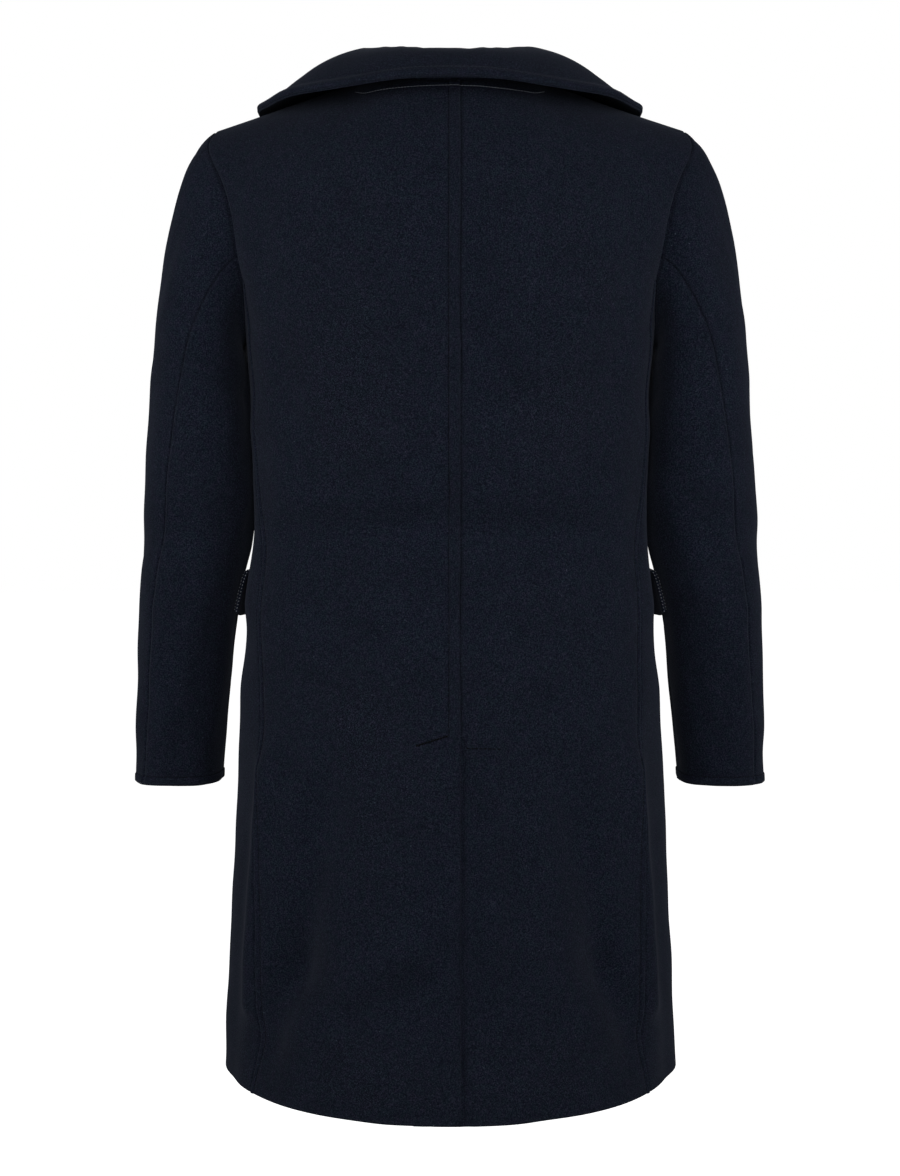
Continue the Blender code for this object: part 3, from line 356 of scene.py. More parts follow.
# A button's four holes and the thread through them
BUTTON_SPREAD = 0.0022
BUTTON_HOLE = 0.0010
BUTTON_HOLE_FLOOR = 0.7  # of its radius, inside which a hole has its whole depth
BUTTON_HOLE_DEPTH = 0.0018
BUTTON_THREAD = 0.00055  # radius
THREAD_REACH = 0.5  # past the middle of a hole, in the hole's radii
THREAD_SINK = -0.3  # how deep the thread's middle lies, in its radii
# How finely a button is turned: round it, its rim, the slope into its dish, and the dish's floor
BUTTON_TURNS = 96
RIM_STEPS = 12
SLOPE_SHARES = (0.15, 1, 8)
DISH_RINGS = 42
DISH_MIDDLE = 0.0001

# The smaller creases, in the same columns as the largest folds
BODY_CREASES = (
    # from_angle, from_z, to_angle, to_z, half_width, rise, left, right
    (77, -0.340, 78, -0.505, 0.018, 0.0048, 1.0, 1.0),
    (28, -0.900, 6, -0.857, 0.018, -0.0056, 1.0, 0.1),
    (33, -0.870, 10, -0.826, 0.014, 0.0034, 1.0, 0.2),
    (16, -0.636, 12, -0.860, 0.014, 0.0056, 0.0, 1.0),
    (6, -0.640, 5, -0.880, 0.010, -0.0028, 0.0, 1.0),
    (41, -0.700, 49, -0.860, 0.018, -0.0062, 1.0, 1.0),
    (51, -0.860, 56, -0.925, 0.018, -0.0060, 1.0, 0.9),
    (32, -0.690, 37, -0.830, 0.014, 0.0034, 1.0, 0.8),
    (62, -0.670, 64, -0.900, 0.009, 0.0048, 1.0, 1.0),
    (0, -0.603, 10, -0.610, 0.0055, -0.0014, 1.0, 0.0),
    (2, -0.609, 11, -0.617, 0.0055, 0.0009, 1.0, 0.0),
    (17, -0.556, 14, -0.566, 0.011, 0.0042, 1.0, 0.0),
    (38, -0.552, 27, -0.536, 0.010, -0.0042, 1.0, 0.8),
    (24, -0.250, 30, -0.268, 0.012, 0.0052, 0.0, 1.0),
    (20, -0.275, 26, -0.300, 0.012, -0.0038, 0.0, 1.0),
    (15, -0.115, 16, -0.215, 0.009, 0.0022, 0.0, 1.0),
    (8, -0.398, 64, -0.404, 0.016, 0.0038, 1.0, 0.9),
    (10, -0.428, 60, -0.434, 0.014, -0.0040, 0.9, 1.0),
    (31, -0.430, 36, -0.452, 0.010, -0.0022, 1.0, 1.0),
    (36, -0.452, 42, -0.440, 0.010, -0.0018, 1.0, 0.8),
    (52, -0.505, 30, -0.545, 0.014, -0.0040, 1.0, 0.7),
    (60, -0.575, 34, -0.600, 0.016, -0.0036, 0.8, 1.0),
    (20, -0.470, 9, -0.560, 0.016, 0.0032, 0.7, 1.0),
    (66, -0.300, 50, -0.340, 0.015, -0.0026, 1.0, 0.8),
    (70, -0.235, 48, -0.290, 0.013, -0.0024, 0.9, 1.0),
    (44, -0.190, 40, -0.330, 0.018, 0.0024, 1.0, 0.7),
    (12, -0.180, 15, -0.330, 0.018, -0.0018, 0.6, 1.0),
    (24, -0.900, 19, -0.975, 0.020, 0.0024, 1.0, 0.5),
    (34, -0.900, 28, -0.990, 0.018, -0.0026, 0.8, 1.0),
    (70, -0.740, 74, -0.980, 0.014, -0.0018, 1.0, 1.0),
    (88, -0.700, 93, -0.930, 0.014, 0.0016, 0.7, 1.0),
    (112, -0.690, 117, -0.960, 0.018, 0.0020, 1.0, 0.8),
    (140, -0.780, 141, -0.990, 0.016, -0.0020, 1.0, 0.7),
    (165, -0.700, 160, -0.960, 0.018, 0.0016, 0.7, 1.0),
    (104, -0.250, 128, -0.290, 0.013, -0.0016, 1.0, 0.9),
    (150, -0.420, 128, -0.500, 0.014, 0.0014, 0.9, 1.0),
    (158, -0.470, 140, -0.560, 0.013, -0.0015, 1.0, 0.7),
)
SLEEVE_CREASES = (
    # from_turn, from_z, to_turn, to_z, half_width, rise, left, right
    (172, -0.425, 176, -0.490, 0.014, 0.0024, 1.0, 1.0),
    (120, -0.478, 72, -0.486, 0.010, -0.0012, 1.0, 0.8),
    (105, -0.500, 45, -0.522, 0.009, 0.0012, 0.8, 1.0),
    (130, -0.415, 80, -0.418, 0.008, -0.0012, 1.0, 1.0),
    (92, -0.330, 70, -0.400, 0.012, 0.0012, 1.0, 0.7),
    (60, -0.200, 40, -0.280, 0.013, 0.0012, 0.8, 1.0),
    (80, -0.560, 95, -0.660, 0.011, -0.0014, 1.0, 0.8),
    (40, -0.600, 30, -0.690, 0.012, 0.0010, 0.7, 1.0),
    (210, -0.500, 300, -0.520, 0.010, -0.0015, 1.0, 0.8),
    (220, -0.410, 280, -0.415, 0.010, 0.0014, 0.9, 1.0),
    (330, -0.330, 340, -0.450, 0.014, -0.0012, 1.0, 0.8),
    (250, -0.560, 270, -0.670, 0.012, -0.0012, 0.8, 1.0),
)
# The cloth's slight unevenness everywhere: waves round the body and up it, each with its own lean
WAVES = (
    # turns_per_radian, waves_per_metre, phase, rise
    (5.0, 3.1, 0.4, 0.00035),
    (-8.0, 6.3, 1.9, 0.00028),
    (11.0, -9.1, 3.3, 0.00020),
    (3.0, 14.7, 5.1, 0.00024),
    (-17.0, 11.0, 0.9, 0.00014),
)

# Colours, as linear light
NAVY_DARK = (0.0022, 0.0032, 0.0074)
NAVY = (0.0056, 0.0078, 0.0154)
NAVY_LIGHT = (0.0165, 0.0200, 0.0325)
THREAD_NAVY = (0.0012, 0.0015, 0.0026)
# Collar and lapel stitching, lighter grey than the rest as a painted highlight: it stands in for the
# light that the stitch line catches from above
COLLAR_THREAD_HIGHLIGHT = (0.0260, 0.0290, 0.0380)
# A painted highlight: the felling thread along the undercollar's felt is made pale so that its line
# shows bright inside the shade under the collar
FELLING_THREAD_HIGHLIGHT = (0.170, 0.182, 0.215)
# A painted highlight: the flap's prick stitches are made pale so that they show as bright dots inside
# the shade beside the sleeve
FLAP_THREAD_HIGHLIGHT = (0.1700, 0.1800, 0.2050)
TEAL_TINT = (0.90, 1.06, 0.98)
VIOLET_TINT = (1.10, 0.98, 1.06)
LINT_TINT = (3.2, 3.0, 2.6)
HORN = (0.0120, 0.0125, 0.0160)
# How much lighter the thread's twist and the horn's clouds go
THREAD_LIFT = 1.5
HORN_LIFT = 2.6
# The shaders' own values
WOOL_SHADER = {
    "Roughness": 0.92,
    "Specular IOR Level": 0.08,
    "Sheen Weight": 0.05,
    "Sheen Roughness": 0.5,
    "Sheen Tint": (0.60, 0.68, 0.90, 1),
}
THREAD_SHADER = {"Roughness": 0.85, "Specular IOR Level": 0.1}
HORN_SHADER = {"Roughness": 0.32}
# The wool's colour: its fibres, and then what tints them, as noises and the colours they turn into
WOOL_LAYERS = (
    # scale, detail, roughness, colour by value
    (820, 2, 0.7, ((0.38, NAVY_DARK), (0.51, NAVY), (0.64, NAVY_LIGHT))),
    (150, 2, 0.6, ((0.38, TEAL_TINT), (0.62, VIOLET_TINT))),
    (26, 4, 0.6, ((0.3, (0.90, 0.90, 0.90)), (0.7, (1.06, 1.06, 1.06)))),
    (520, 1, 0.5, ((0.735, (1, 1, 1)), (0.775, LINT_TINT))),
)
NAP_GRAIN = (700, 4, 0.65)
NAP_STRENGTH = 0.5
NAP_DEPTH = 0.0004
THREAD_GRAIN = (1800, 2, 0.5)
HORN_GRAIN = (160, 5, 0.6)

# The photo's camera and a soft studio
CAMERA_PLACE = (0, 2.0, -0.365)
CAMERA_TILT = math.atan(128 / 1960)
LENS = 60
SENSOR = 36
CAMERA_REACH = 60
FLOOR_Z = -1.42
FLOOR_RADIUS = 14
WALL_TOP = 9
STAGE_SIDES = 96
STAGE_SHADERS = {
    "floor": {
        "Roughness": 0.9,
        "Base Color": (0.9, 0.9, 0.9, 1),
        "Specular IOR Level": 0.1,
        "Emission Color": (1, 1, 1, 1),
        "Emission Strength": 1,
    },
    "wall": {
        "Roughness": 0.9,
        "Base Color": (0, 0, 0, 1),
        "Specular IOR Level": 0,
        "Emission Color": (1, 1, 1, 1),
        "Emission Strength": 1,
    },
}
ROOM_LIGHT = (
    # the direction that it comes from, the share of it at which it is full, brightness
    ("Z", -0.5, 0.20),
    ("Y", 0.6, 0.21),
)
AIM = (0, 0, -0.45)
LIGHTS = (
    # name, angle round from the back, angle up, distance, size, power
    ("fill_behind", 0, 14, 3.0, (1.4, 1.0), 28),
    ("near_left", 50, 18, 1.3, (0.4, 0.5), 2.7),
    ("near_right", -50, 18, 1.3, (0.4, 0.5), 2.7),
    ("side_left", 74, 12, 1.9, (0.6, 1.1), 6.0),
    ("side_right", -74, 12, 1.9, (0.6, 1.1), 6.0),
    ("front_fill", 180, 25, 3.0, (1.6, 1.2), 7),
)


def spline(knots, values, at):
    """A natural cubic spline through the values."""
    knots = np.asarray(knots, float)
    values = np.asarray(values, float)
    at = np.asarray(at, float)
    gaps = np.diff(knots)
    count = len(knots)
    matrix = np.eye(count)
    bends = np.zeros(count)
    for i in range(1, count - 1):
        matrix[i, i - 1 : i + 2] = gaps[i - 1], 2 * (gaps[i - 1] + gaps[i]), gaps[i]
        rises = np.diff(values[i - 1 : i + 2]) / gaps[i - 1 : i + 1]
        bends[i] = 6 * (rises[1] - rises[0])
    bends = np.linalg.solve(matrix, bends)
    cell = np.clip(np.searchsorted(knots, at) - 1, 0, count - 2)
    gap = gaps[cell]
    before = (at - knots[cell]) / gap
    after = 1 - before
    line = after * values[cell] + before * values[cell + 1]
    curve = (after**3 - after) * bends[cell] + (before**3 - before) * bends[cell + 1]
    return line + curve * gap**2 / 6


def table(rows, column, at):
    """One named column of a table, smoothed over its first column."""
    rows = sorted(rows)
    return spline([row[0] for row in rows], [row[column] for row in rows], at)


def smooth(low, high, at):
    """0 below low, 1 above high, and an even S between."""
    share = np.clip((np.asarray(at, float) - low) / (high - low), 0, 1)
    return share * share * (3 - 2 * share)


def shares(count):
    return np.linspace(0, 1, count + 1)


def mixed(first, second, share):
    share = np.asarray(share, float)[..., None]
    return first * (1 - share) + second * share


def joined(x, y, z):
    return np.stack(np.broadcast_arrays(x, y, z), axis=-1).astype(float)


def unit(vectors):
    length = np.linalg.norm(vectors, axis=-1, keepdims=True)
    return vectors / np.maximum(length, 1e-12)


def bezier(first, second, third, last, share):
    """A cubic curve from first to last, at each share of the way."""
    share = np.asarray(share, float)[..., None]
    rest = 1 - share
    return rest**3 * first + 3 * rest**2 * share * second + 3 * rest * share**2 * third + share**3 * last


def ring_sizes(height):
    """Half width, depth of the back and of the front, and squareness."""
    return [table(RINGS, column, height) for column in range(1, 5)]


def ring_point(angle, height):
    """The point at an angle round the body, 0 at the centre back and pi at the centre front."""
    half, back, front, square = ring_sizes(height)
    depth = np.where(np.cos(angle) > 0, back, front)
    reach = (np.abs(np.sin(angle)) / half) ** square + (np.abs(np.cos(angle)) / depth) ** square
    reach = reach ** (-1 / square)
    return joined(reach * np.sin(angle), reach * np.cos(angle), height)


def angle_at_side(y, height):
    """The angle of the ring's point at this depth y, on the wearer's left."""
    half, back, front, square = ring_sizes(height)
    depth = np.where(y > 0, back, front)
    x = half * (1 - (np.abs(y) / depth) ** square) ** (1 / square)
    return np.arctan2(x, y)


def angle_at_middle(x, height, behind):
    """The angle of the ring's point at this x, near the centre back or the centre front."""
    half, back, front, square = ring_sizes(height)
    y = (1 - (np.abs(x) / half) ** square) ** (1 / square) * np.where(behind, back, -front)
    angle = np.arctan2(x, y)
    return np.where(~np.asarray(behind) & (angle < 0), angle + 2 * math.pi, angle)


def back_seam_angle(height):
    return angle_at_side(table(RINGS, 5, height), height)


def front_seam_angle(height):
    return angle_at_side(table(RINGS, 6, height), height)


def hem_height(third, across):
    """The hem's height, third 0 for the back, 1 for the side and 2 for the front."""
    return HEM - HEM_SWING * np.cos(math.radians(60) * (third + across))


def shoulder_seam(share):
    """From the neck to the shoulder tip."""
    point = mixed(np.array(SIDE_NECK), np.array(SHOULDER_TIP), share)
    point[..., 2] -= SHOULDER_HOLLOW * np.sin(math.pi * np.clip(share, 0, 1))
    return point


def armhole_edge(share, behind):
    """The armhole from the side seam's height up to the shoulder tip, behind or in front."""
    seam = back_seam_angle(JOIN) if behind else front_seam_angle(JOIN)
    first = ring_point(seam, JOIN)
    columns = (1, 2, 3) if behind else (4, 5, 6)
    rows = [(0.0, *first)] + [(row[0], *(row[c] for c in columns)) for row in ARMHOLE]
    rows.append((1.0, *SHOULDER_TIP))
    return joined(*(table(rows, column, share) for column in (1, 2, 3)))


def back_lower(across, up, edge_x):
    height = hem_height(0, across)
    height = height + up * (JOIN - height)
    start = angle_at_middle(edge_x, height, True)
    return ring_point(start + across * (back_seam_angle(height) - start), height)


def side_panel(across, up):
    """The panel under the arm. Its top edge is the armhole's hollow."""
    from_middle = np.abs(2 * across - 1)
    top = UNDERARM + (JOIN - UNDERARM) * from_middle**ARMHOLE_HOLLOW
    height = hem_height(1, across)
    height = height + up * (top - height)
    start = back_seam_angle(height)
    return ring_point(start + across * (front_seam_angle(height) - start), height)


def front_edge_x(height):
    """The front edge, and above the break the roll line."""
    rolled = np.clip((height - BREAK) / (JOIN - BREAK), 0, None)
    return FRONT_EDGE_X + (ROLL_JOIN_X - FRONT_EDGE_X) * rolled


def front_lower(across, up):
    height = hem_height(2, across)
    height = height + up * (JOIN - height)
    start = front_seam_angle(height)
    end = angle_at_middle(front_edge_x(height), height, False)
    return ring_point(start + across * (end - start), height)


def risen(lower, across, up, top, arrive, reach):
    """Carries each column of a lower panel on, over the shoulder, to its point on the top."""
    start = lower(across, np.ones_like(across))
    below = lower(across, np.full_like(across, 1 - STEP))
    slope = (start - below) / (start - below)[..., 2:]
    rise = (top - start)[..., 2:]
    leave = start + slope * rise * LEAVE_SHARE
    return bezier(start, leave, top - arrive * reach[..., None], top, up - 1)


def armhole_shift(lower, edge, up, behind):
    """How far the armhole lies from where a panel's own edge would come."""
    way, reach = (-1, BACK_REACH) if behind else (1, FRONT_REACH)
    tip = shoulder_seam(np.ones_like(edge))
    arrive = joined(0, np.full_like(edge, way), 0)
    own = risen(lower, edge, np.maximum(up, 1), tip, arrive, np.full_like(edge, reach))
    return armhole_edge(np.maximum(up, 1) - 1, behind) - own


NECK_SHARE = NECK_COLUMNS / BACK_COLUMNS


def neckline(share, edge_x):
    """From the centre-back seam to the side of the neck."""
    start = math.asin(edge_x / SIDE_NECK[0])
    turn = start + share * (math.pi / 2 - start)
    y = SIDE_NECK[1] + (NAPE_Y - SIDE_NECK[1]) * np.cos(turn)
    return joined(SIDE_NECK[0] * np.sin(turn), y, SIDE_NECK[2] * np.sin(turn) ** 2)


def back_panel(across, up, edge_x):
    across, up = np.broadcast_arrays(np.asarray(across, float), np.asarray(up, float))
    low = back_lower(across, np.minimum(up, 1), edge_x)
    on_neck = (across <= NECK_SHARE)[..., None]
    top = np.where(
        on_neck,
        neckline(np.minimum(across / NECK_SHARE, 1), edge_x),
        shoulder_seam(np.maximum((across - NECK_SHARE) / (1 - NECK_SHARE), 0)),
    )
    climb = np.radians(NECK_CLIMB * (1 - smooth(0, NECK_SHARE * NECK_FADE, across)))
    arrive = joined(0, -np.cos(climb), np.sin(climb))
    reach = BACK_REACH + BACK_REACH_MORE * np.sin(math.pi * across)

    def lower(a, u):
        return back_lower(a, u, edge_x)

    high = risen(lower, across, np.maximum(up, 1), top, arrive, reach)
    near = across**ARMHOLE_FADE
    high = high + armhole_shift(lower, np.ones_like(across), up, True) * near[..., None]
    return np.where((up > 1)[..., None], high, low)


def front_panel(across, up):
    across, up = np.broadcast_arrays(np.asarray(across, float), np.asarray(up, float))
    low = front_lower(across, np.minimum(up, 1))
    top = shoulder_seam(1 - across)
    climb = np.radians(FRONT_NECK_CLIMB * smooth(FRONT_NECK_FROM, 1, across))
    arrive = joined(0, np.cos(climb), np.sin(climb))
    reach = FRONT_REACH + FRONT_REACH_MORE * across
    high = risen(front_lower, across, np.maximum(up, 1), top, arrive, reach)
    near = (1 - across) ** ARMHOLE_FADE
    high = high + armhole_shift(front_lower, np.zeros_like(across), up, False) * near[..., None]
    return np.where((up > 1)[..., None], high, low)


def ridge(across, along, length, half_width):
    """How far a point shares in a fold: 1 on its line, fading to its sides and past its ends."""
    past = np.maximum(np.maximum(-along, along - length), 0)
    return np.exp(-((across / half_width) ** 2) - (past / (FOLD_END * half_width)) ** 2)


def fold_rise(folds, turn, height, radius, left_share):
    """What the folds add at a place round the body or a sleeve."""
    rise = np.zeros(np.broadcast(turn, height).shape)
    for from_turn, from_z, to_turn, to_z, half_width, most, left, right in folds:
        run = np.array([math.radians(to_turn - from_turn) * radius, to_z - from_z])
        length = float(np.hypot(*run))
        run = run / length
        away = (turn - math.radians(from_turn)) * radius
        down = height - from_z
        along = away * run[0] + down * run[1]
        across = away * run[1] - down * run[0]
        strength = right + (left - right) * left_share
        rise = rise + most * strength * ridge(across, along, length, half_width)
    return rise


def facing(surface, across, up, top=2.0):
    """The surface's outward direction at each (across, up)."""
    left = surface(np.maximum(across - STEP, 0), up)
    right = surface(np.minimum(across + STEP, 1), up)
    below = surface(across, np.maximum(up - STEP, 0))
    above = surface(across, np.minimum(up + STEP, top))
    return unit(np.cross(above - below, right - left))


def grid_facing(points):
    """The direction across each point of a grid, from its neighbours along and down."""
    return unit(np.cross(np.gradient(points, axis=1), np.gradient(points, axis=0)))


def toward(out, away):
    """The facing, turned over if it is on the other side from the direction away."""
    return out * np.sign(np.sum(out * away))


def shoulder_facing():
    """The shoulder seam's own upward direction, shared by the back and the front."""
    run = np.array(SHOULDER_TIP) - np.array(SIDE_NECK)
    return unit(np.array([-run[2], 0.0, run[0]]))


Edge = collections.namedtuple("Edge", "points facing onward")


def sewn_edge(points, out, inside):
    onward = unit(np.cross(np.gradient(points, axis=0), out))
    if np.sum(onward * (points - inside)) < 0:
        onward = -onward
    return Edge(points, out, onward)


def part_of(edge, first, last):
    return Edge(*(values[first:last] for values in edge))


def reverse_of(edge):
    return Edge(*(values[::-1] for values in edge))


def chain(edges):
    """Edges end to end, each shared point once."""
    parts = [edges[0]] + [part_of(edge, 1, None) for edge in edges[1:]]
    return Edge(*(np.concatenate(values) for values in zip(*parts)))


def grid(columns, rows):
    return np.meshgrid(np.asarray(columns, float), np.asarray(rows, float))


def sided(name, side):
    return name + ("_left" if side > 0 else "_right")


def dressed(surface, across, up, side, top=2.0):
    """A panel's points with its folds, and its facing."""
    flat = surface(across, up)
    out = facing(surface, across, up, top)
    return flat + out * body_rise(flat, side)[..., None], out


def lap_depth(points):
    """How deep the right front lies under the left one, and under its own lapel's end."""
    x, height = points[..., 0], points[..., 2]
    near = 1 - smooth(*LAP_FADE, x)
    below = 1 - smooth(*LAP_TOP, height)
    rolled_end = smooth(*LAPEL_LAP_FOOT, height) * (1 - smooth(*LAPEL_LAP_TOP, height))
    return near * (OVERLAP_DEPTH * below + (LAPEL_DEPTH - OVERLAP_DEPTH) * rolled_end)


def front_points(across, up, side):
    points, out = dressed(front_panel, across, up, side)
    if side < 0:
        points = points - out * lap_depth(points)[..., None]
    return points, out


def sleeve_middle(height):
    return (table(SLEEVE_RINGS, 1, height) + table(SLEEVE_RINGS, 2, height)) / 2


def sleeve_ring(turn, height):
    """The point at an angle round the sleeve, 0 outside, 90 degrees behind, 180 inside."""
    outer, inner, middle_y, depth = (table(SLEEVE_RINGS, column, height) for column in range(1, 5))
    half = (outer - inner) / 2
    reach = (np.abs(np.cos(turn)) / half) ** SLEEVE_SQUARE
    reach = reach + (np.abs(np.sin(turn)) / depth) ** SLEEVE_SQUARE
    reach = reach ** (-1 / SLEEVE_SQUARE)
    x = sleeve_middle(height) + reach * np.cos(turn)
    return joined(x, middle_y + reach * np.sin(turn), height)


def sleeve_turns(columns, middle_line, first, last):
    """The angles of a piece's columns, from one of its seams past its middle line to the other."""
    middle_share, middle = middle_line
    share = np.linspace(0, 1, columns)
    early = first + (middle - first) * share / middle_share
    late = middle + (last - middle) * (share - middle_share) / (1 - middle_share)
    return np.where(share < middle_share, early, late)


def sleeve_row(height, top_columns, under_columns):
    """The sleeve's ring at a height, from the back seam over the top piece and the under one."""
    seam = table(SLEEVE_RINGS, 5, height)
    top = sleeve_turns(top_columns, TOP_MIDDLE, seam, FRONT_SEAM)
    under = sleeve_turns(under_columns, UNDER_MIDDLE, FRONT_SEAM, seam - 360)
    turn = np.radians(np.concatenate([top, under[1:]]))
    return sleeve_ring(turn, np.full_like(turn, height))


def sleeve_grid(edge, top_columns, under_columns, side):
    """The whole sleeve's points and facing, from the armhole down to the cuff."""
    ring = sleeve_row(SLEEVE_TOP, top_columns, under_columns)
    down = (sleeve_row(SLEEVE_TOP - STEP, top_columns, under_columns) - ring) / STEP
    base = edge.points + edge.onward * HALF_GAP
    crown = smooth(UNDERARM, SHOULDER_TIP[2], edge.points[:, 2])
    way = mixed(np.array(UNDER_WAY), np.array(CROWN_WAY), crown)
    way[:, 1] *= np.clip(edge.points[:, 1] / LEAN_Y, -1, 1)
    way = unit(way)
    first_reach = (UNDER_REACH + CROWN_REACH * crown**CROWN_BEND)[:, None]
    last_reach = np.linalg.norm(ring - base, axis=-1, keepdims=True) * CAP_SETTLE
    cap = [
        bezier(base, base + way * first_reach, ring - down * last_reach, ring, part)
        for part in shares(CAP_ROWS) ** CAP_BEND
    ]
    heights = np.linspace(SLEEVE_TOP, CUFF, ARM_ROWS + 1)[1:]
    points = np.stack(cap + [sleeve_row(height, top_columns, under_columns) for height in heights])
    round_about = np.concatenate([points[:, -2:-1], points, points[:, 1:2]], axis=1)
    out = grid_facing(round_about)[:, 1:-1]
    out = toward(out, points - points.mean(axis=1, keepdims=True))
    out[0] = edge.facing
    x, y, height = np.moveaxis(points, -1, 0)
    turns = np.arctan2(y - table(SLEEVE_RINGS, 3, height), x - sleeve_middle(height))
    turns = np.where(turns < TURN_START, turns + 2 * math.pi, turns)
    rise = fold_rise(SLEEVE_FOLDS + SLEEVE_CREASES, turns, height, SLEEVE_RADIUS, float(side > 0))
    rise = rise + waves(turns + side, height)
    rise = rise * smooth(0, CAP_FADE, np.arange(len(points)))[:, None]
    return points + out * rise[..., None], out


def rolled(base, rise_to, outward, heading, radius, bend, rows):
    """The stand, in rows steps, and the roll above it, with the facing of each row."""
    stand = [mixed(base, rise_to, k / rows) for k in range(rows + 1)]
    faced = [outward] * (rows + 1)
    middle = rise_to + outward * radius
    for k in range(1, TURN_ROWS + 1):
        at = (bend * k / TURN_ROWS)[:, None]
        faced.append(outward * np.cos(at) - heading * np.sin(at))
        stand.append(middle - radius * faced[-1])
    return stand, faced


def over_front(up, path, radius, side, stand_rows):
    """A piece rolled at the front's edge and laid back over the front, with its facing."""
    edge = np.ones_like(up)
    base, out = front_points(edge, up, side)
    inside, _ = front_points(edge - STEP, up, side)
    onward = unit(np.cross(np.gradient(base, axis=0), out))
    onward = onward * np.sign(np.sum(onward * (base - inside), axis=-1, keepdims=True))
    start = base + onward * SEAM_GAP
    rise_to = base + onward * LAPEL_STAND
    bend = np.full_like(up, math.pi)
    points, faced = rolled(start, rise_to, out, onward, radius[:, None], bend, stand_rows)
    for k in range(1, FALL_ROWS + 1):
        share = k / FALL_ROWS
        point, direction = front_points(*path(share), side)
        clear = 2 * radius + (LAPEL_CLEAR - 2 * radius) * smooth(0, 1, share)
        points.append(point + direction * clear[:, None])
        faced.append(-direction)
    return np.stack(points), np.stack(faced)


def gorge_path(share):
    """The gorge and the collar's end past it, across and up the front."""
    sewn = min(share, NOTCH) / NOTCH
    free = max(share - NOTCH, 0) / (1 - NOTCH)
    return 1 - GORGE_WIDTH * share, GORGE_UP - GORGE_DROP * sewn + POINT_RISE * free


def lapel_path(share, ups, along):
    """The lapel over the front. Its top follows the gorge to the notch, then goes to its tip."""
    width = LAPEL_START + (LAPEL_WIDTH - LAPEL_START) * along**LAPEL_SWELL
    across = 1 - width * share
    up = ups - LAPEL_DROP * along**LAPEL_SWEEP * share
    top_across, top_up = gorge_path(min(share, NOTCH))
    past = max(share - NOTCH, 0) / (1 - NOTCH)
    top_across = top_across + (1 - LAPEL_WIDTH - top_across) * past
    top_up = top_up + (GORGE_UP - LAPEL_DROP - top_up) * past - GORGE_GAP
    near_top = smooth(LAPEL_TOP_FROM, 1.0, along)
    return across + (top_across - across) * near_top, up + (top_up - up) * near_top


def laid_end(side):
    """The collar's end, over the front along the gorge, and its facing."""
    ups = GORGE_UP + np.array([-STEP, 0, STEP])

    def path(share):
        across, up = gorge_path(share)
        return np.full(3, across), up + ups - GORGE_UP

    points, out = over_front(ups, path, np.full(3, ROLL_RADIUS), side, STAND_ROWS)
    return points[:, 1], out[:, 1]


def collar_half(neck, roll, side):
    """The collar's underside from the centre back to the gorge, and its seam's facing."""
    front_rows = round((2 - GORGE_UP) * UPPER_ROWS)
    ahead = reverse_of(part_of(roll, -front_rows - 1, None))
    edge = chain([neck, ahead])
    x, y = neck.points[:, 0], neck.points[:, 1]
    turn = np.arctan2(x / SIDE_NECK[0], (y - SIDE_NECK[1]) / (NAPE_Y - SIDE_NECK[1]))
    share = np.concatenate([turn / math.pi, np.linspace(0.5, 1, len(ahead.points))[1:]])
    mirrored = [(-row[0], -row[1], *row[2:]) for row in COLLAR[1:]]
    sizes = [table(mirrored + list(COLLAR), column, share) for column in range(1, 6)]
    free = joined(*sizes[:3])
    stand, droop = sizes[3:]
    base = edge.points + edge.onward * (HALF_GAP + HALF_GAP * smooth(*SEAM_OPENS, share))[:, None]
    heading = unit(mixed(joined(0 * share, 0, 1), edge.onward, smooth(*STAND_LEANS, share)))
    rise_to = base + heading * stand[:, None]
    away = free - rise_to
    outward = unit(away - heading * np.sum(away * heading, axis=-1, keepdims=True))
    bend = np.arctan2(np.sum(away * outward, axis=-1), np.sum(away * heading, axis=-1))
    bend = np.minimum(bend + COLLAR_TUCK, math.pi)
    rows, _ = rolled(base, rise_to, outward, heading, ROLL_RADIUS, bend, STAND_ROWS)
    start = rows[-1]
    span = free - start
    lift = unit(np.cross(np.cross(span, heading), span))
    for k in range(1, FALL_ROWS + 1):
        part = k / FALL_ROWS
        rows.append(start + span * part + lift * (droop * math.sin(math.pi * part))[:, None])
    points = np.stack(rows)
    end, _ = laid_end(side)
    near_end = smooth(END_COLUMNS, 0, np.arange(len(share))[::-1])
    points = points + (end - points[:, -1])[:, None] * near_end[:, None]
    return points, edge.facing


def flap_surface(across, down):
    turn = np.radians(FLAP_FROM + (FLAP_TO - FLAP_FROM) * across)
    corner = 1 - smooth(0, FLAP_CORNER, np.minimum(across, 1 - across))
    return ring_point(turn, FLAP_TOP - FLAP_HEIGHT * down * (1 - FLAP_SLANT * corner))


# Unevenness, in the same places for every piece so that seams still meet


def waves(turn, height):
    rise = np.zeros(np.broadcast(turn, height).shape)
    for around, upward, phase, most in WAVES:
        rise = rise + most * np.sin(around * turn + 2 * math.pi * upward * height + phase)
    return rise


def body_rise(points, side):
    """The folds' share at points of the left side, or of the right side's mirror image."""
    x, y, height = np.moveaxis(points, -1, 0)
    left_share = smooth(-BLEND_X, BLEND_X, x * side)
    turn = np.arctan2(np.abs(x), y)
    rise = fold_rise(BODY_FOLDS + BODY_CREASES, turn, height, BODY_RADIUS, left_share)
    return rise + waves(turn + side * smooth(0, BLEND_X, np.abs(x)), height)


# Grids of cloth: where each point lies, its facing, and how far it is from the grid's edges


Cloth = collections.namedtuple("Cloth", "points out first last low top")


def lengths(points, axis):
    """How far each point lies along its row or column, from the first one."""
    steps = np.linalg.norm(np.diff(points, axis=axis), axis=-1)
    start = np.zeros_like(np.take(steps, [0], axis=axis))
    return np.concatenate([start, np.cumsum(steps, axis=axis)], axis=axis)


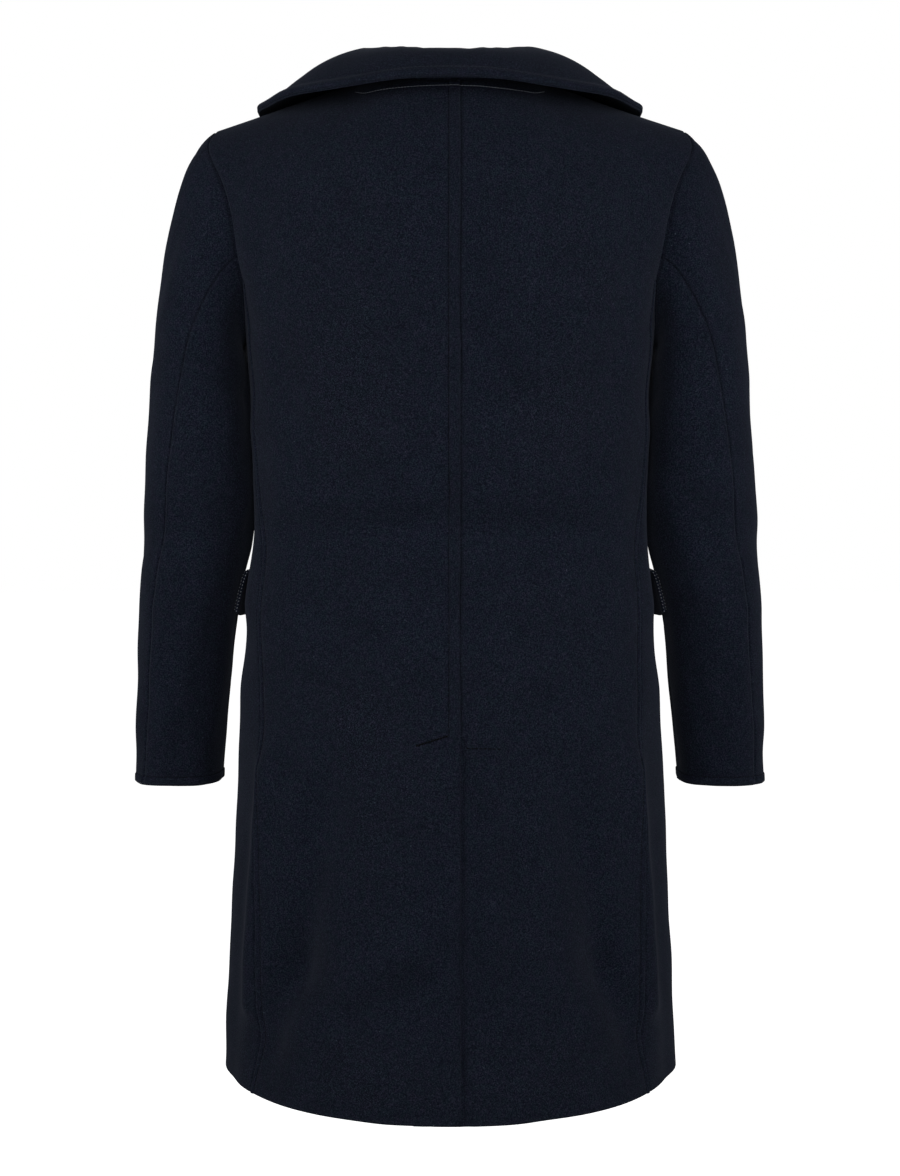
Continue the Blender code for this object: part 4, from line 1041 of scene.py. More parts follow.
def respaced(points, out, near_first, near_last):
    """The same cloth, on columns at set distances from both edges and evenly spaced between."""
    along = lengths(points, 1)
    total = along[:, -1:]
    narrow = np.minimum(1, NARROWEST * total / (near_first[-1] + near_last[-1]))
    first = narrow * np.array(near_first)
    last = total - narrow * np.array(near_last)[::-1]
    count = max(2, round(float(total.mean()) / CELL))
    start, end = first[:, -1:], last[:, :1]
    wanted = np.concatenate([first, start + (end - start) * shares(count)[1:-1], last], axis=1)
    both = np.concatenate([points, out], axis=-1)
    moved = np.empty(wanted.shape + (6,))
    for i in range(len(points)):
        for c in range(6):
            moved[i, :, c] = np.interp(wanted[i], along[i], both[i, :, c])
    return moved[..., :3], unit(moved[..., 3:])


def cloth(points, out, near_first, near_last, near_low, near_top):
    points, out = respaced(points, out, near_first, near_last)
    points, out = (np.swapaxes(values, 0, 1) for values in (points, out))
    points, out = respaced(points, out, near_low, near_top)
    points, out = (np.swapaxes(values, 0, 1) for values in (points, out))
    across, up = lengths(points, 1), lengths(points, 0)
    return Cloth(points, out, across, across[:, -1:] - across, up, up[-1:] - up)


def with_stitch(near, stitch):
    """Distances for an edge that has a line of stitching beside it."""
    beside = tuple(stitch + k * STITCH_WIDTH for k in BESIDE_STITCH)
    return tuple(d for d in near if d < beside[0] - STITCH_CLEAR) + beside


def stitch_place(near, stitch, count):
    """Which of a grid's rows or columns carries the stitching beside its last edge."""
    return count - 1 - with_stitch(near, stitch).index(stitch)


# The cloth's relief: seams that dip, allowances that lift it, and edges that are pressed round


def dip(distance, depth, width):
    return -depth * np.exp(-((distance / width) ** 2))


def seam(distance):
    return dip(distance, SEAM_DIP, SEAM_WIDTH)


def stitched(distance, stitch):
    """The allowance under the cloth, up to its line of stitching."""
    lifted = smooth(*WELT_FROM, distance) * (1 - smooth(stitch, stitch + WELT_FALL, distance))
    return WELT_RISE * lifted + dip(distance - stitch, STITCH_DIP, STITCH_WIDTH)


def edge_round(distance, thick):
    """How far both faces draw in to round a free edge."""
    half = thick / 2
    near = np.clip(1 - distance / half, 0, 1)
    return EDGE_ROUND * half * (1 - np.sqrt(1 - near**2))


def wall_mesh(outer, inner, keep=None):
    """The faces between an outer and an inner grid, with the kept cells' rim closed."""
    rows, columns = outer.shape[:2]
    if keep is None:
        keep = np.ones((rows - 1, columns - 1), bool)
    if np.sum(grid_facing(outer) * (outer - inner)) < 0:
        outer, inner, keep = outer[:, ::-1], inner[:, ::-1], keep[:, ::-1]
    points = np.concatenate([outer.reshape(-1, 3), inner.reshape(-1, 3)])
    i, j = np.nonzero(keep)
    corner = i * columns + j
    front = np.stack([corner, corner + 1, corner + columns + 1, corner + columns], axis=1)
    sides = np.concatenate([front[:, [k, (k + 1) % 4]] for k in range(4)])
    there = {(a, b) for a, b in sides.tolist()}
    rim = np.array([(a, b) for a, b in there if (b, a) not in there])
    rim = rim[np.lexsort(rim.T)]
    under = rows * columns
    band = np.stack([rim[:, 1], rim[:, 0], rim[:, 0] + under, rim[:, 1] + under], axis=1)
    faces = np.concatenate([front, front[:, ::-1] + under, band])
    used, places = np.unique(faces, return_inverse=True)
    return points[used], places.reshape(faces.shape).tolist()


def add_mesh(name, points, faces, side, finish):
    """One object. The right side's is mirrored, with its faces turned to match."""
    if side < 0:
        points = points * MIRROR
        faces = [face[::-1] for face in faces]
    mesh = bpy.data.meshes.new(name)
    mesh.from_pydata(points.tolist(), [], faces)
    mesh.validate()
    mesh.shade_smooth()
    mesh.materials.append(finish)
    made = bpy.data.objects.new(name, mesh)
    bpy.context.scene.collection.objects.link(made)
    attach(made, "root")
    return made


def ring_faces(low, count):
    """The faces from one ring of points to the next one."""
    faces = []
    for k in range(count):
        after = (k + 1) % count
        faces.append((low + k, low + after, low + count + after, low + count + k))
    return faces


def doubled_edge(sheet, drawn, thick):
    """Parts the top edge into its two turned layers."""
    points, drawn = sheet.points.copy(), drawn.copy()
    edge, inside = sheet.points[-1], sheet.points[-1 - len(DOUBLE_EDGE)]
    for k, (place, share) in enumerate(DOUBLE_EDGE):
        points[-1 - k] = mixed(edge, inside, place / NEAR_DOUBLE[len(DOUBLE_EDGE)])
        drawn[-1 - k] = np.maximum(drawn[-1 - k], share * thick / 2)
    return sheet._replace(points=points), drawn


def add_shell(name, sheet, rise, free, thick, side, finish, keep=None, far_rise=None):
    """A panel's closed shell. free is each point's distance from the nearest unsewn edge, and
    far_rise is the relief of its other face, given for a piece whose top edge is doubled."""
    drawn = edge_round(free, thick)
    if far_rise is None:
        far_rise = np.zeros_like(drawn)
    else:
        sheet, drawn = doubled_edge(sheet, drawn, thick)
    outer = sheet.points + sheet.out * (rise - drawn)[..., None]
    inner = sheet.points - sheet.out * (thick - drawn + far_rise)[..., None]
    points, faces = wall_mesh(outer, inner, keep)
    made = add_mesh("cloth_" + name, points, faces, side, finish)
    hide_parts(name)
    return outer, inner


def stitch_line(name, path, out, kind, side, finish):
    """A row of thread stitches, each a slim six-sided bar sunk at its ends."""
    along = lengths(path[None], 1)[0]
    count = max(1, int(along[-1] / kind.pitch))
    turns = 2 * math.pi * np.arange(STITCH_SIDES) / STITCH_SIDES
    points, faces = [], []
    for k in range(count):
        middle = (k + 0.5) * along[-1] / count
        places = middle + kind.length * np.array([row[0] for row in STITCH_FORM])
        centre, up = (
            np.stack([np.interp(places, along, values[:, c]) for c in range(3)], axis=1)
            for values in (path, out)
        )
        up = unit(up)
        onward = unit(centre[-1] - centre[0])
        across = unit(np.cross(onward, up))
        start = len(points) * STITCH_SIDES
        for place, (_, height, girth) in enumerate(STITCH_FORM):
            spot = centre[place] + up[place] * height * kind.radius
            ring = np.cos(turns)[:, None] * across[place] + np.sin(turns)[:, None] * up[place]
            points.append(spot + ring * girth * kind.radius)
        last = start + STITCH_SIDES * (len(STITCH_FORM) - 1)
        for low in range(start, last, STITCH_SIDES):
            faces += ring_faces(low, STITCH_SIDES)
        # each end is closed by two four-sided faces
        for t in (0, 2):
            faces.append((start, start + 5 - t, start + 4 - t, start + 3 - t))
            faces.append((last, last + 1 + t, last + 2 + t, last + 3 + t))
    made = add_mesh(name, np.concatenate(points), faces, side, finish)


# The body's panels


def body_rows():
    return np.concatenate([shares(LOWER_ROWS), 1 + shares(UPPER_ROWS)[1:]])


def back_columns():
    neck = np.linspace(0, NECK_SHARE, NECK_COLUMNS + 1)
    return np.concatenate([neck, np.linspace(NECK_SHARE, 1, BACK_COLUMNS - NECK_COLUMNS + 1)[1:]])


def corner_lift(sheet, radius, below):
    """Rounds the corner between the first column and the hem."""
    near = np.clip(1 - sheet.first / radius, 0, 1)
    lift = radius * (1 - np.sqrt(1 - near**2)) * np.exp(-sheet.low / (3 * radius)) * below
    points = sheet.points.copy()
    points[..., 2] += lift
    return sheet._replace(points=points)


def with_underlap(sheet, rise, free, edge_x):
    """Carries the right back past the seam below the vent, one wall further in."""
    height = sheet.points[:, 0, 2]
    below = height < VENT_TOP
    under = smooth(*UNDERLAP_STEP, sheet.first) * below[:, None]
    rise = rise - UNDERLAP_DEPTH * under
    columns = []
    for x in edge_x - UNDERLAP * np.linspace(1, 0, LAP_COLUMNS + 1)[:-1]:
        flat = ring_point(angle_at_middle(x, height, True), height)
        columns.append(flat + sheet.out[:, 0] * body_rise(flat, -1)[:, None])
    points = np.concatenate([np.stack(columns, axis=1), sheet.points], axis=1)
    out = np.concatenate([sheet.out[:, :1]] * LAP_COLUMNS + [sheet.out], axis=1)
    low = np.concatenate([sheet.low[:, :1]] * LAP_COLUMNS + [sheet.low], axis=1)
    rise = np.concatenate([np.full((len(height), LAP_COLUMNS), -UNDERLAP_DEPTH), rise], axis=1)
    free = np.concatenate([free[:, :1]] * LAP_COLUMNS + [free], axis=1)
    free[:, :LAP_COLUMNS] = np.minimum(free[:, :LAP_COLUMNS], lengths(points, 1)[:, :LAP_COLUMNS])
    keep = np.ones((len(height) - 1, points.shape[1] - 1), bool)
    keep[:, :LAP_COLUMNS] = below[1:, None]
    return sheet._replace(points=points, out=out, low=low), rise, free, keep


def back_surface(side):
    edge_x = BACK_SEAM_X * side - SEAM_MEET

    def surface(across, up):
        return back_panel(across, up, edge_x)

    return surface


def edge_cloth(surface, across, up, side):
    """The points, facing and way past its edge of a line on a panel."""
    points, out = dressed(surface, across, up, side)
    inside = np.where(across > 0.5, across - STEP, across + STEP)
    deeper = np.where((up > 2 - STEP) & (across < 1), up - STEP, up)
    inner = surface(np.where(deeper < up, across, inside), deeper)
    return sewn_edge(points, out, inner)


def back_edges(side):
    """The back's neck edge and armhole edge."""
    surface = back_surface(side)
    share = np.linspace(0, NECK_SHARE, NECK_COLUMNS + 1)
    neck = edge_cloth(surface, share, np.full_like(share, 2), side)
    up = body_rows()[LOWER_ROWS:]
    arm = edge_cloth(surface, np.ones_like(up), up, side)
    arm.facing[-1] = shoulder_facing()
    return neck, arm


def side_edge(side):
    share = shares(SIDE_COLUMNS)
    points, out = dressed(side_panel, share, np.ones_like(share), side, 1.0)
    return sewn_edge(points, out, side_panel(share, np.full_like(share, 1 - STEP)))


def front_edges(side):
    """The front's roll edge and armhole edge."""
    edges = []
    for across, inside, up in ((1, 1 - STEP, body_rows()), (0, STEP, body_rows()[LOWER_ROWS:])):
        points, out = front_points(np.full_like(up, across), up, side)
        out[-1] = shoulder_facing()
        edges.append(sewn_edge(points, out, front_points(np.full_like(up, inside), up, side)[0]))
    return edges


def on_body(x, height, side, behind):
    """Places on the body's outside, at a distance from the middle to this side, and their facing."""
    turn = angle_at_middle(x, height, behind)
    flat = ring_point(turn, height)
    along = ring_point(turn + STEP, height) - flat
    upward = ring_point(turn, height + STEP) - flat
    out = unit(np.cross(upward, along))
    return flat + out * body_rise(flat, side)[..., None], out


def felt_height(x):
    """The height of the felt's felled edge, at a distance from the middle."""
    return np.interp(np.abs(x), *np.array(FELT_EDGE).T)


def felt_edge(sheet):
    """The undercollar's felt over the nape seam, as the back's relief."""
    x, height = sheet.points[..., 0], sheet.points[..., 2]
    near = 1 - smooth(*FELT_REACH, np.abs(x))
    edge = felt_height(x)
    return FELT_RISE * near * smooth(edge - FELT_STEP, edge + FELT_STEP, height)


def felled_line(outer, out, columns):
    """Where these columns of the back cross the felt's edge, and the way they face there."""
    line, up = [], []
    for column in columns:
        above = outer[:, column, 2] - felt_height(outer[:, column, 0])
        line.append([np.interp(0, above, outer[:, column, axis]) for axis in range(3)])
        up.append([np.interp(0, above, out[:, column, axis]) for axis in range(3)])
    line, up = np.array(line), np.array(up)
    under_felt = np.abs(line[:, 0]) < FELT_REACH[1]
    return line[under_felt], up[under_felt]


def build_vent_stay(side, thread):
    name, start, end, kind = VENT_STAY[0] if side > 0 else VENT_STAY[1]
    share = shares(STAY_STEPS)
    x = start[0] + (end[0] - start[0]) * share
    height = start[1] + (end[1] - start[1]) * share
    points, out = on_body(x, height, side, np.full_like(x, True, bool))
    stitch_line("stitches_vent_" + name, points, out, kind, side, thread)


def eased(points):
    """Softens the bend that runs down from the neck point, below its top rows."""
    reach = EASE_SPREAD * EASE_COLUMNS
    spread = np.exp(-((np.arange(-reach, reach + 1) / EASE_COLUMNS) ** 2))
    spread = spread / spread.sum()
    soft = points.copy()
    inside = slice(reach, -reach)
    for row in range(len(points)):
        for c in range(3):
            soft[row, inside, c] = np.convolve(points[row, :, c], spread, "valid")
    from_neck = (np.arange(points.shape[1]) - NECK_COLUMNS) / (EASE_REACH * EASE_COLUMNS)
    near = np.exp(-(from_neck**4)) * smooth(0, EASE_ROWS, np.arange(len(points))[::-1])[:, None]
    return mixed(points, soft, near)


def build_back(side, finish, thread, felling_painted_highlight):
    surface = back_surface(side)
    points, out = dressed(surface, *grid(back_columns(), body_rows()), side)
    points, out = eased(points), unit(eased(out))
    out[-1, NECK_COLUMNS:] = shoulder_facing()
    near_first = with_stitch(NEAR_SEAM, CENTRE_STITCH) if side > 0 else NEAR_EDGE
    sheet = cloth(points, out, near_first, with_stitch(NEAR_SEAM, SIDE_STITCH), NEAR_EDGE, NEAR_FELT)
    above, armhole = (
        smooth(height - SEAM_END, height + SEAM_END, sheet.points[..., 2]) for height in (VENT_TOP, JOIN)
    )
    rise = seam(sheet.first) * above + seam(sheet.last) + seam(sheet.top)
    rise = rise + stitched(sheet.last, SIDE_STITCH) * (1 - armhole) + felt_edge(sheet)
    free = sheet.low
    if side > 0:
        rise = rise + stitched(sheet.first, CENTRE_STITCH) * above
        free = np.minimum(free, sheet.first + above)
        sheet = corner_lift(sheet, VENT_CORNER, 1 - above)
        outer, _ = add_shell("back_left", sheet, rise, free, SHELL, side, finish)
        middle = near_first.index(CENTRE_STITCH)
        rows = sheet.points[:, middle, 2] > VENT_TOP
        line, up = outer[rows, middle], sheet.out[rows, middle]
        stitch_line("stitches_centre", line, up, TOPSTITCH, side, thread)
    else:
        sheet, rise, free, keep = with_underlap(sheet, rise, free, BACK_SEAM_X * side)
        outer, _ = add_shell("back_right", sheet, rise, free, SHELL, side, finish, keep)
    last = stitch_place(NEAR_SEAM, SIDE_STITCH, outer.shape[1])
    rows = sheet.points[:, last, 2] < JOIN
    line, up = outer[rows, last], sheet.out[rows, last]
    stitch_line(sided("stitches_side_back", side), line, up, TOPSTITCH, side, thread)
    columns = range(outer.shape[1] - sheet.first.shape[1], outer.shape[1])
    line, up = felled_line(outer, sheet.out, columns)
    # these stitches are drawn in a pale thread, a painted highlight that keeps them bright in the
    # collar's shade
    stitch_line(sided("stitches_felt", side), line, up, FELLING, side, felling_painted_highlight)
    build_vent_stay(side, thread)


def build_side(side, finish):
    points, out = dressed(side_panel, *grid(shares(SIDE_COLUMNS), shares(LOWER_ROWS)), side, 1.0)
    sheet = cloth(points, out, NEAR_SEAM, NEAR_SEAM, NEAR_EDGE, NEAR_SEAM)
    rise = seam(sheet.first) + seam(sheet.last) + seam(sheet.top)
    add_shell(sided("side", side), sheet, rise, sheet.low, SHELL, side, finish)


def build_front(side, finish, thread):
    points, out = front_points(*grid(shares(FRONT_COLUMNS), body_rows()), side)
    out[-1] = shoulder_facing()
    sheet = cloth(points, out, NEAR_SEAM, with_stitch(NEAR_EDGE, EDGE_STITCH), NEAR_EDGE, NEAR_SEAM)
    rolled_part = smooth(BREAK - ROLL_FADE, BREAK, sheet.points[..., 2])
    rise = seam(sheet.first) + seam(sheet.top)
    rise = rise + stitched(sheet.last, EDGE_STITCH) * (1 - rolled_part)
    free = np.minimum(sheet.low, sheet.last + rolled_part)
    outer, _ = add_shell(sided("front", side), sheet, rise, free, SHELL, side, finish)
    last = stitch_place(NEAR_EDGE, EDGE_STITCH, outer.shape[1])
    rows = sheet.points[:, last, 2] < BREAK - ROLL_STITCH_END
    line, up = outer[rows, last], sheet.out[rows, last]
    stitch_line(sided("stitches_front_edge", side), line, up, TOPSTITCH, side, thread)


def build_buttonhole(name, height, thread):
    """Two worked lips, joined round an eyelet near the front's edge."""
    turn = np.linspace(math.radians(EYELET_OPEN), math.radians(360 - EYELET_OPEN), EYELET_STEPS + 1)
    x = np.concatenate([[HOLE_TO], HOLE_FROM + EYELET * np.cos(turn), [HOLE_TO]])
    z = np.concatenate([[HOLE_HALF], EYELET * np.sin(turn), [-HOLE_HALF]])
    along = lengths(joined(x, 0, z)[None], 1)[0]
    fine = np.linspace(0, along[-1], HOLE_STEPS + 1)
    x, z = np.interp(fine, along, x), height + np.interp(fine, along, z)
    points, out = on_body(x, z, 1, np.full_like(x, False, bool))
    stitch_line("hole_" + name, points, out, PURL, 1, thread)


# Sleeves


def build_sleeve(side, armhole, finish, thread):
    """Both pieces. The armhole runs from the shoulder tip down behind, under, and up in front."""
    back_seam = UPPER_ROWS - FINER
    front_seam = UPPER_ROWS + SIDE_COLUMNS
    behind = part_of(armhole, 0, back_seam + 1)
    beneath = part_of(armhole, back_seam, front_seam + 1)
    ahead = part_of(armhole, front_seam, None)
    edge = chain([reverse_of(part) for part in (behind, ahead, beneath)])
    top_columns = len(behind.points) + len(ahead.points) - 1
    points, out = sleeve_grid(edge, top_columns, len(beneath.points), side)
    pieces = (
        ("top_sleeve", slice(0, top_columns)),
        ("under_sleeve", slice(top_columns - 1, None)),
    )
    for name, columns in pieces:
        near_cuff = with_stitch(NEAR_EDGE, CUFF_STITCH)
        sheet = cloth(points[:, columns], out[:, columns], NEAR_SEAM, NEAR_SEAM, NEAR_SEAM, near_cuff)
        rise = seam(sheet.first) + seam(sheet.last) + seam(sheet.low)
        rise = rise + stitched(sheet.top, CUFF_STITCH)
        outer, _ = add_shell(sided(name, side), sheet, rise, sheet.top, SHELL, side, finish)
        row = stitch_place(NEAR_EDGE, CUFF_STITCH, len(outer))
        line = sided("stitches_cuff_" + name, side)
        stitch_line(line, outer[row], sheet.out[row], TOPSTITCH, side, thread)


# Lapels and collar


def add_turned(name, sheet, wide, side, finish):
    """A collar or lapel. Its grid is its underside, so the face that shows is the far one."""
    free = np.minimum(sheet.first, sheet.last)
    welt = COLLAR_WELT * smooth(*COLLAR_WELT_FROM, sheet.top)
    welt = welt * (1 - smooth(*COLLAR_WELT_TO, sheet.top))
    relief = (stitched(sheet.top, EDGE_STITCH) + welt) * wide
    plain = np.zeros_like(free)
    return add_shell(name, sheet, plain, free, SHELL_DOUBLED, side, finish, far_rise=relief)


def build_lapel(side, finish, thread):
    rows = body_rows()
    ups = rows[(rows >= LAPEL_FROM - STEP) & (rows <= GORGE_UP + STEP)]
    along = np.linspace(0, 1, len(ups))
    radius = LAPEL_ROLL + (ROLL_RADIUS - LAPEL_ROLL) * along
    ups = ups - GORGE_GAP * smooth(LAPEL_END_FROM, 1, along)

    def path(share):
        return lapel_path(share, ups, along)

    points, out = over_front(ups, path, radius, side, LAPEL_STAND_ROWS)
    near_top = with_stitch(NEAR_DOUBLE, EDGE_STITCH)
    sheet = cloth(points, out, NEAR_EDGE, NEAR_EDGE, NEAR_SEAM, near_top)
    wide = smooth(*STITCHED_WIDTH, (sheet.top + sheet.low)[0])
    name = sided("lapel", side)
    row = stitch_place(NEAR_DOUBLE, EDGE_STITCH, len(sheet.points))
    _, visible = add_turned(name, sheet, wide, side, finish)
    line, up = visible[row, wide > 0.5], -sheet.out[row, wide > 0.5]
    stitch_line("stitches_" + name, line, up, TOPSTITCH, side, thread)


def build_collar(necks, rolls, finish, thread):
    halves = {side: collar_half(necks[side], rolls[side], side) for side in (1, -1)}
    points, first = (
        np.concatenate([right[..., ::-1, :] * MIRROR, left[..., 1:, :]], axis=-2)
        for right, left in zip(halves[-1], halves[1])
    )
    out = grid_facing(points)
    out = out * np.sign(np.sum(out[1] * first))
    out[0] = first
    out[:, 0] = laid_end(-1)[1] * MIRROR
    out[:, -1] = laid_end(1)[1]
    near_top = with_stitch(NEAR_DOUBLE, EDGE_STITCH)
    sheet = cloth(points, out, NEAR_EDGE, NEAR_EDGE, NEAR_SEAM, near_top)
    row = stitch_place(NEAR_DOUBLE, EDGE_STITCH, len(sheet.points))
    _, visible = add_turned("collar", sheet, np.ones(sheet.points.shape[1]), 1, finish)
    stitch_line("stitches_collar", visible[row], -sheet.out[row], TOPSTITCH, 1, thread)


# Pocket flaps and buttons


def build_flap(side, finish, thread):
    """A flap, prick-stitched near its three free edges."""
    across, down = grid(shares(FLAP_COLUMNS), shares(FLAP_ROWS))
    flat = flap_surface(across, down)
    out = -facing(flap_surface, across, down, 1.0)
    to_front = smooth(0, FLAP_FLARE_TO, across)
    flare = FLAP_FLARE_REAR + (FLAP_FLARE_FRONT - FLAP_FLARE_REAR) * to_front
    clear = 2 * SEAM_GAP + flare * down**FLAP_FLARE_BEND
    points = flat + out * (body_rise(flat, side) + clear + SHELL_DOUBLED)[..., None]
    near = with_stitch(NEAR_EDGE, FLAP_STITCH)
    sheet = cloth(points, out, near, near, NEAR_EDGE, near)
    free = np.minimum(np.minimum(sheet.first, sheet.last), sheet.top)
    rise = seam(sheet.low)
    name = sided("pocket_flap", side)
    outer, inner = add_shell(name, sheet, rise, free, SHELL_DOUBLED, side, finish)
    at = near.index(FLAP_STITCH)
    rows, columns = len(outer) - 1 - at, outer.shape[1] - 1 - at
    line, up = (
        np.concatenate([values[:rows, at], values[rows, at:columns], values[rows::-1, columns]])
        for values in (outer, sheet.out)
    )
    # the prick stitches use a pale thread, a painted highlight that keeps them bright in the sleeve's
    # shade
    stitch_line("stitches_" + name, line, up, PRICK, side, thread)
    end = (outer[:, 0] + inner[:, 0]) / 2
    stitch_line("pricks_" + name, end, unit(outer[:, 0] - outer[:, 3]), PRICK, side, thread)


def button_profile(top):
    """A button's outline from its shank out, over its rim and into its dish, as radius and height,
    and how many of its points are rounded ones."""
    inside = BUTTON_RADIUS - BUTTON_RIM
    dish = inside - 2 * BUTTON_RIM
    half = BUTTON_THICK / 2
    bend = np.radians(np.linspace(-90, 90, RIM_STEPS + 1))
    rim = [(inside + BUTTON_RIM * math.cos(b), top - half + half * math.sin(b)) for b in bend]
    slope = [
        (inside - 2 * BUTTON_RIM * share, top - BUTTON_RIM * float(smooth(0, 1, share)))
        for share in np.linspace(*SLOPE_SHARES)
    ]
    floor = [(radius, top - BUTTON_RIM) for radius in np.linspace(dish, DISH_MIDDLE, DISH_RINGS)[1:]]
    shank = [(BUTTON_SHANK, 0), (BUTTON_SHANK, BUTTON_LIFT)]
    return [*shank, *rim, *slope, *floor], len(rim) + len(slope)


def build_button(name, height, horn, thread):
    """A dished button with four holes, on its thread shank."""
    flat = ring_point(np.array([math.pi]), np.array([height]))[0]
    seat = flat - np.array([0, body_rise(flat, 1) + SEAM_GAP, 0])
    top = BUTTON_LIFT + BUTTON_THICK
    profile, rounded = button_profile(top)
    turn = 2 * math.pi * np.arange(BUTTON_TURNS) / BUTTON_TURNS
    radius, away = (np.array(values)[:, None] for values in zip(*profile))
    x, z = radius * np.cos(turn), radius * np.sin(turn)
    from_hole = np.hypot(np.abs(x) - BUTTON_SPREAD, np.abs(z) - BUTTON_SPREAD)
    front = np.arange(len(profile))[:, None] > rounded
    wall = smooth(BUTTON_HOLE_FLOOR * BUTTON_HOLE, BUTTON_HOLE, from_hole)
    away = away - BUTTON_HOLE_DEPTH * front * (1 - wall)
    points = (seat + joined(x, -away, z)).reshape(-1, 3)
    faces = []
    for low in range(0, len(points) - BUTTON_TURNS, BUTTON_TURNS):
        faces += ring_faces(low, BUTTON_TURNS)
    points = np.concatenate([points, seat[None], seat[None] - np.array([[0, top - BUTTON_RIM, 0]])])
    ends = len(points) - 2
    made = add_mesh("horn_" + name, points, faces + button_ends(ends), 1, horn)
    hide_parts(name)
    for k in (1, -1):
        for shift in (-0.5, 0.5):
            z = k * BUTTON_SPREAD + shift * BUTTON_THREAD
            x = np.array([-1, 1]) * (BUTTON_SPREAD + THREAD_REACH * BUTTON_HOLE)
            line = seat + joined(x, -(top - BUTTON_RIM) + THREAD_SINK * BUTTON_THREAD, z)
            kind = Stitches(4 * BUTTON_SPREAD, float(x[1] - x[0]), BUTTON_THREAD)
            strand = "thread_" + name + "_" + str(2 * k + int(2 * shift))
            stitch_line(strand, line, np.array([[0.0, -1, 0], [0, -1, 0]]), kind, 1, thread)


def button_ends(ends):
    """The faces that close the shank's foot and the middle of the dish."""
    last = ends - BUTTON_TURNS
    faces = []
    for k in range(BUTTON_TURNS):
        after = (k + 1) % BUTTON_TURNS
        faces.append((ends, after, k))
        faces.append((ends + 1, last + k, last + after))
    return faces


# Materials


def shader_of(name, values):
    """A material, its nodes and links, and its shader with these values."""
    made = bpy.data.materials.new(name)
    made.use_nodes = True
    nodes, links = made.node_tree.nodes, made.node_tree.links
    shader = nodes["Principled BSDF"]
    for socket, value in values.items():
        shader.inputs[socket].default_value = value
    return made, nodes, links, shader


def noise(nodes, links, source, scale, detail, roughness):
    made = nodes.new("ShaderNodeTexNoise")
    made.inputs["Scale"].default_value = scale
    made.inputs["Detail"].default_value = detail
    made.inputs["Roughness"].default_value = roughness
    links.new(source, made.inputs["Vector"])
    return made.outputs["Fac"]


def ramp(nodes, links, value, stops):
    """A colour ramp with (place, colour) stops."""
    made = nodes.new("ShaderNodeValToRGB")
    points = made.color_ramp.elements
    for place, _ in stops[2:]:
        points.new(place)
    for point, (place, colour) in zip(points, sorted(stops)):
        point.position = place
        point.color = (*colour, 1)
    links.new(value, made.inputs["Fac"])
    return made.outputs["Color"]


def wool_material():
    """Felted melton: fine lighter fibres over navy, a soft uneven depth of colour, and a low nap."""
    made, nodes, links, shader = shader_of("wool_melton", WOOL_SHADER)
    place = nodes.new("ShaderNodeTexCoord").outputs["Object"]
    layers = [
        ramp(nodes, links, noise(nodes, links, place, *grain), stops) for *grain, stops in WOOL_LAYERS
    ]
    colour = layers[0]
    for layer in layers[1:]:
        product = nodes.new("ShaderNodeMixRGB")
        product.blend_type = "MULTIPLY"
        product.inputs["Fac"].default_value = 1
        links.new(colour, product.inputs["Color1"])
        links.new(layer, product.inputs["Color2"])
        colour = product.outputs["Color"]
    links.new(colour, shader.inputs["Base Color"])
    bump = nodes.new("ShaderNodeBump")
    bump.inputs["Strength"].default_value = NAP_STRENGTH
    bump.inputs["Distance"].default_value = NAP_DEPTH
    links.new(noise(nodes, links, place, *NAP_GRAIN), bump.inputs["Height"])
    links.new(bump.outputs["Normal"], shader.inputs["Normal"])
    return made


def plain_material(name, values, grain, stops):
    """One that goes between two colours by a fine noise."""
    made, nodes, links, shader = shader_of(name, values)
    place = nodes.new("ShaderNodeTexCoord").outputs["Object"]
    colour = ramp(nodes, links, noise(nodes, links, place, *grain), stops)
    links.new(colour, shader.inputs["Base Color"])
    return made


def thread_material(name, colour):
    lighter = tuple(THREAD_LIFT * c for c in colour)
    return plain_material(name, THREAD_SHADER, THREAD_GRAIN, ((0.35, colour), (0.7, lighter)))


def horn_material():
    lighter = tuple(HORN_LIFT * c for c in HORN)
    return plain_material("horn_button", HORN_SHADER, HORN_GRAIN, ((0.40, HORN), (0.75, lighter)))


# Floor, light and camera


def build_surroundings():
    """A pale floor and the pale wall round it. Neither lights nor shades the coat."""
    turns = 2 * math.pi * np.arange(STAGE_SIDES) / STAGE_SIDES
    rim = [(FLOOR_RADIUS * math.cos(t), FLOOR_RADIUS * math.sin(t), FLOOR_Z) for t in turns]
    top = [(x, y, WALL_TOP) for x, y, _ in rim]
    faces = {"floor": [tuple(range(STAGE_SIDES))], "wall": []}
    for k in range(STAGE_SIDES):
        after = (k + 1) % STAGE_SIDES
        faces["wall"].append((k, after, STAGE_SIDES + after, STAGE_SIDES + k))
    for name, points in (("floor", rim), ("wall", rim + top)):
        mesh = bpy.data.meshes.new(name)
        mesh.from_pydata(points, [], faces[name])
        mesh.materials.append(shader_of("pale_" + name, STAGE_SHADERS[name])[0])
        made = bpy.data.objects.new(name, mesh)
        bpy.context.scene.collection.objects.link(made)
        made.visible_diffuse = False
        made.visible_glossy = False
        made.visible_shadow = False


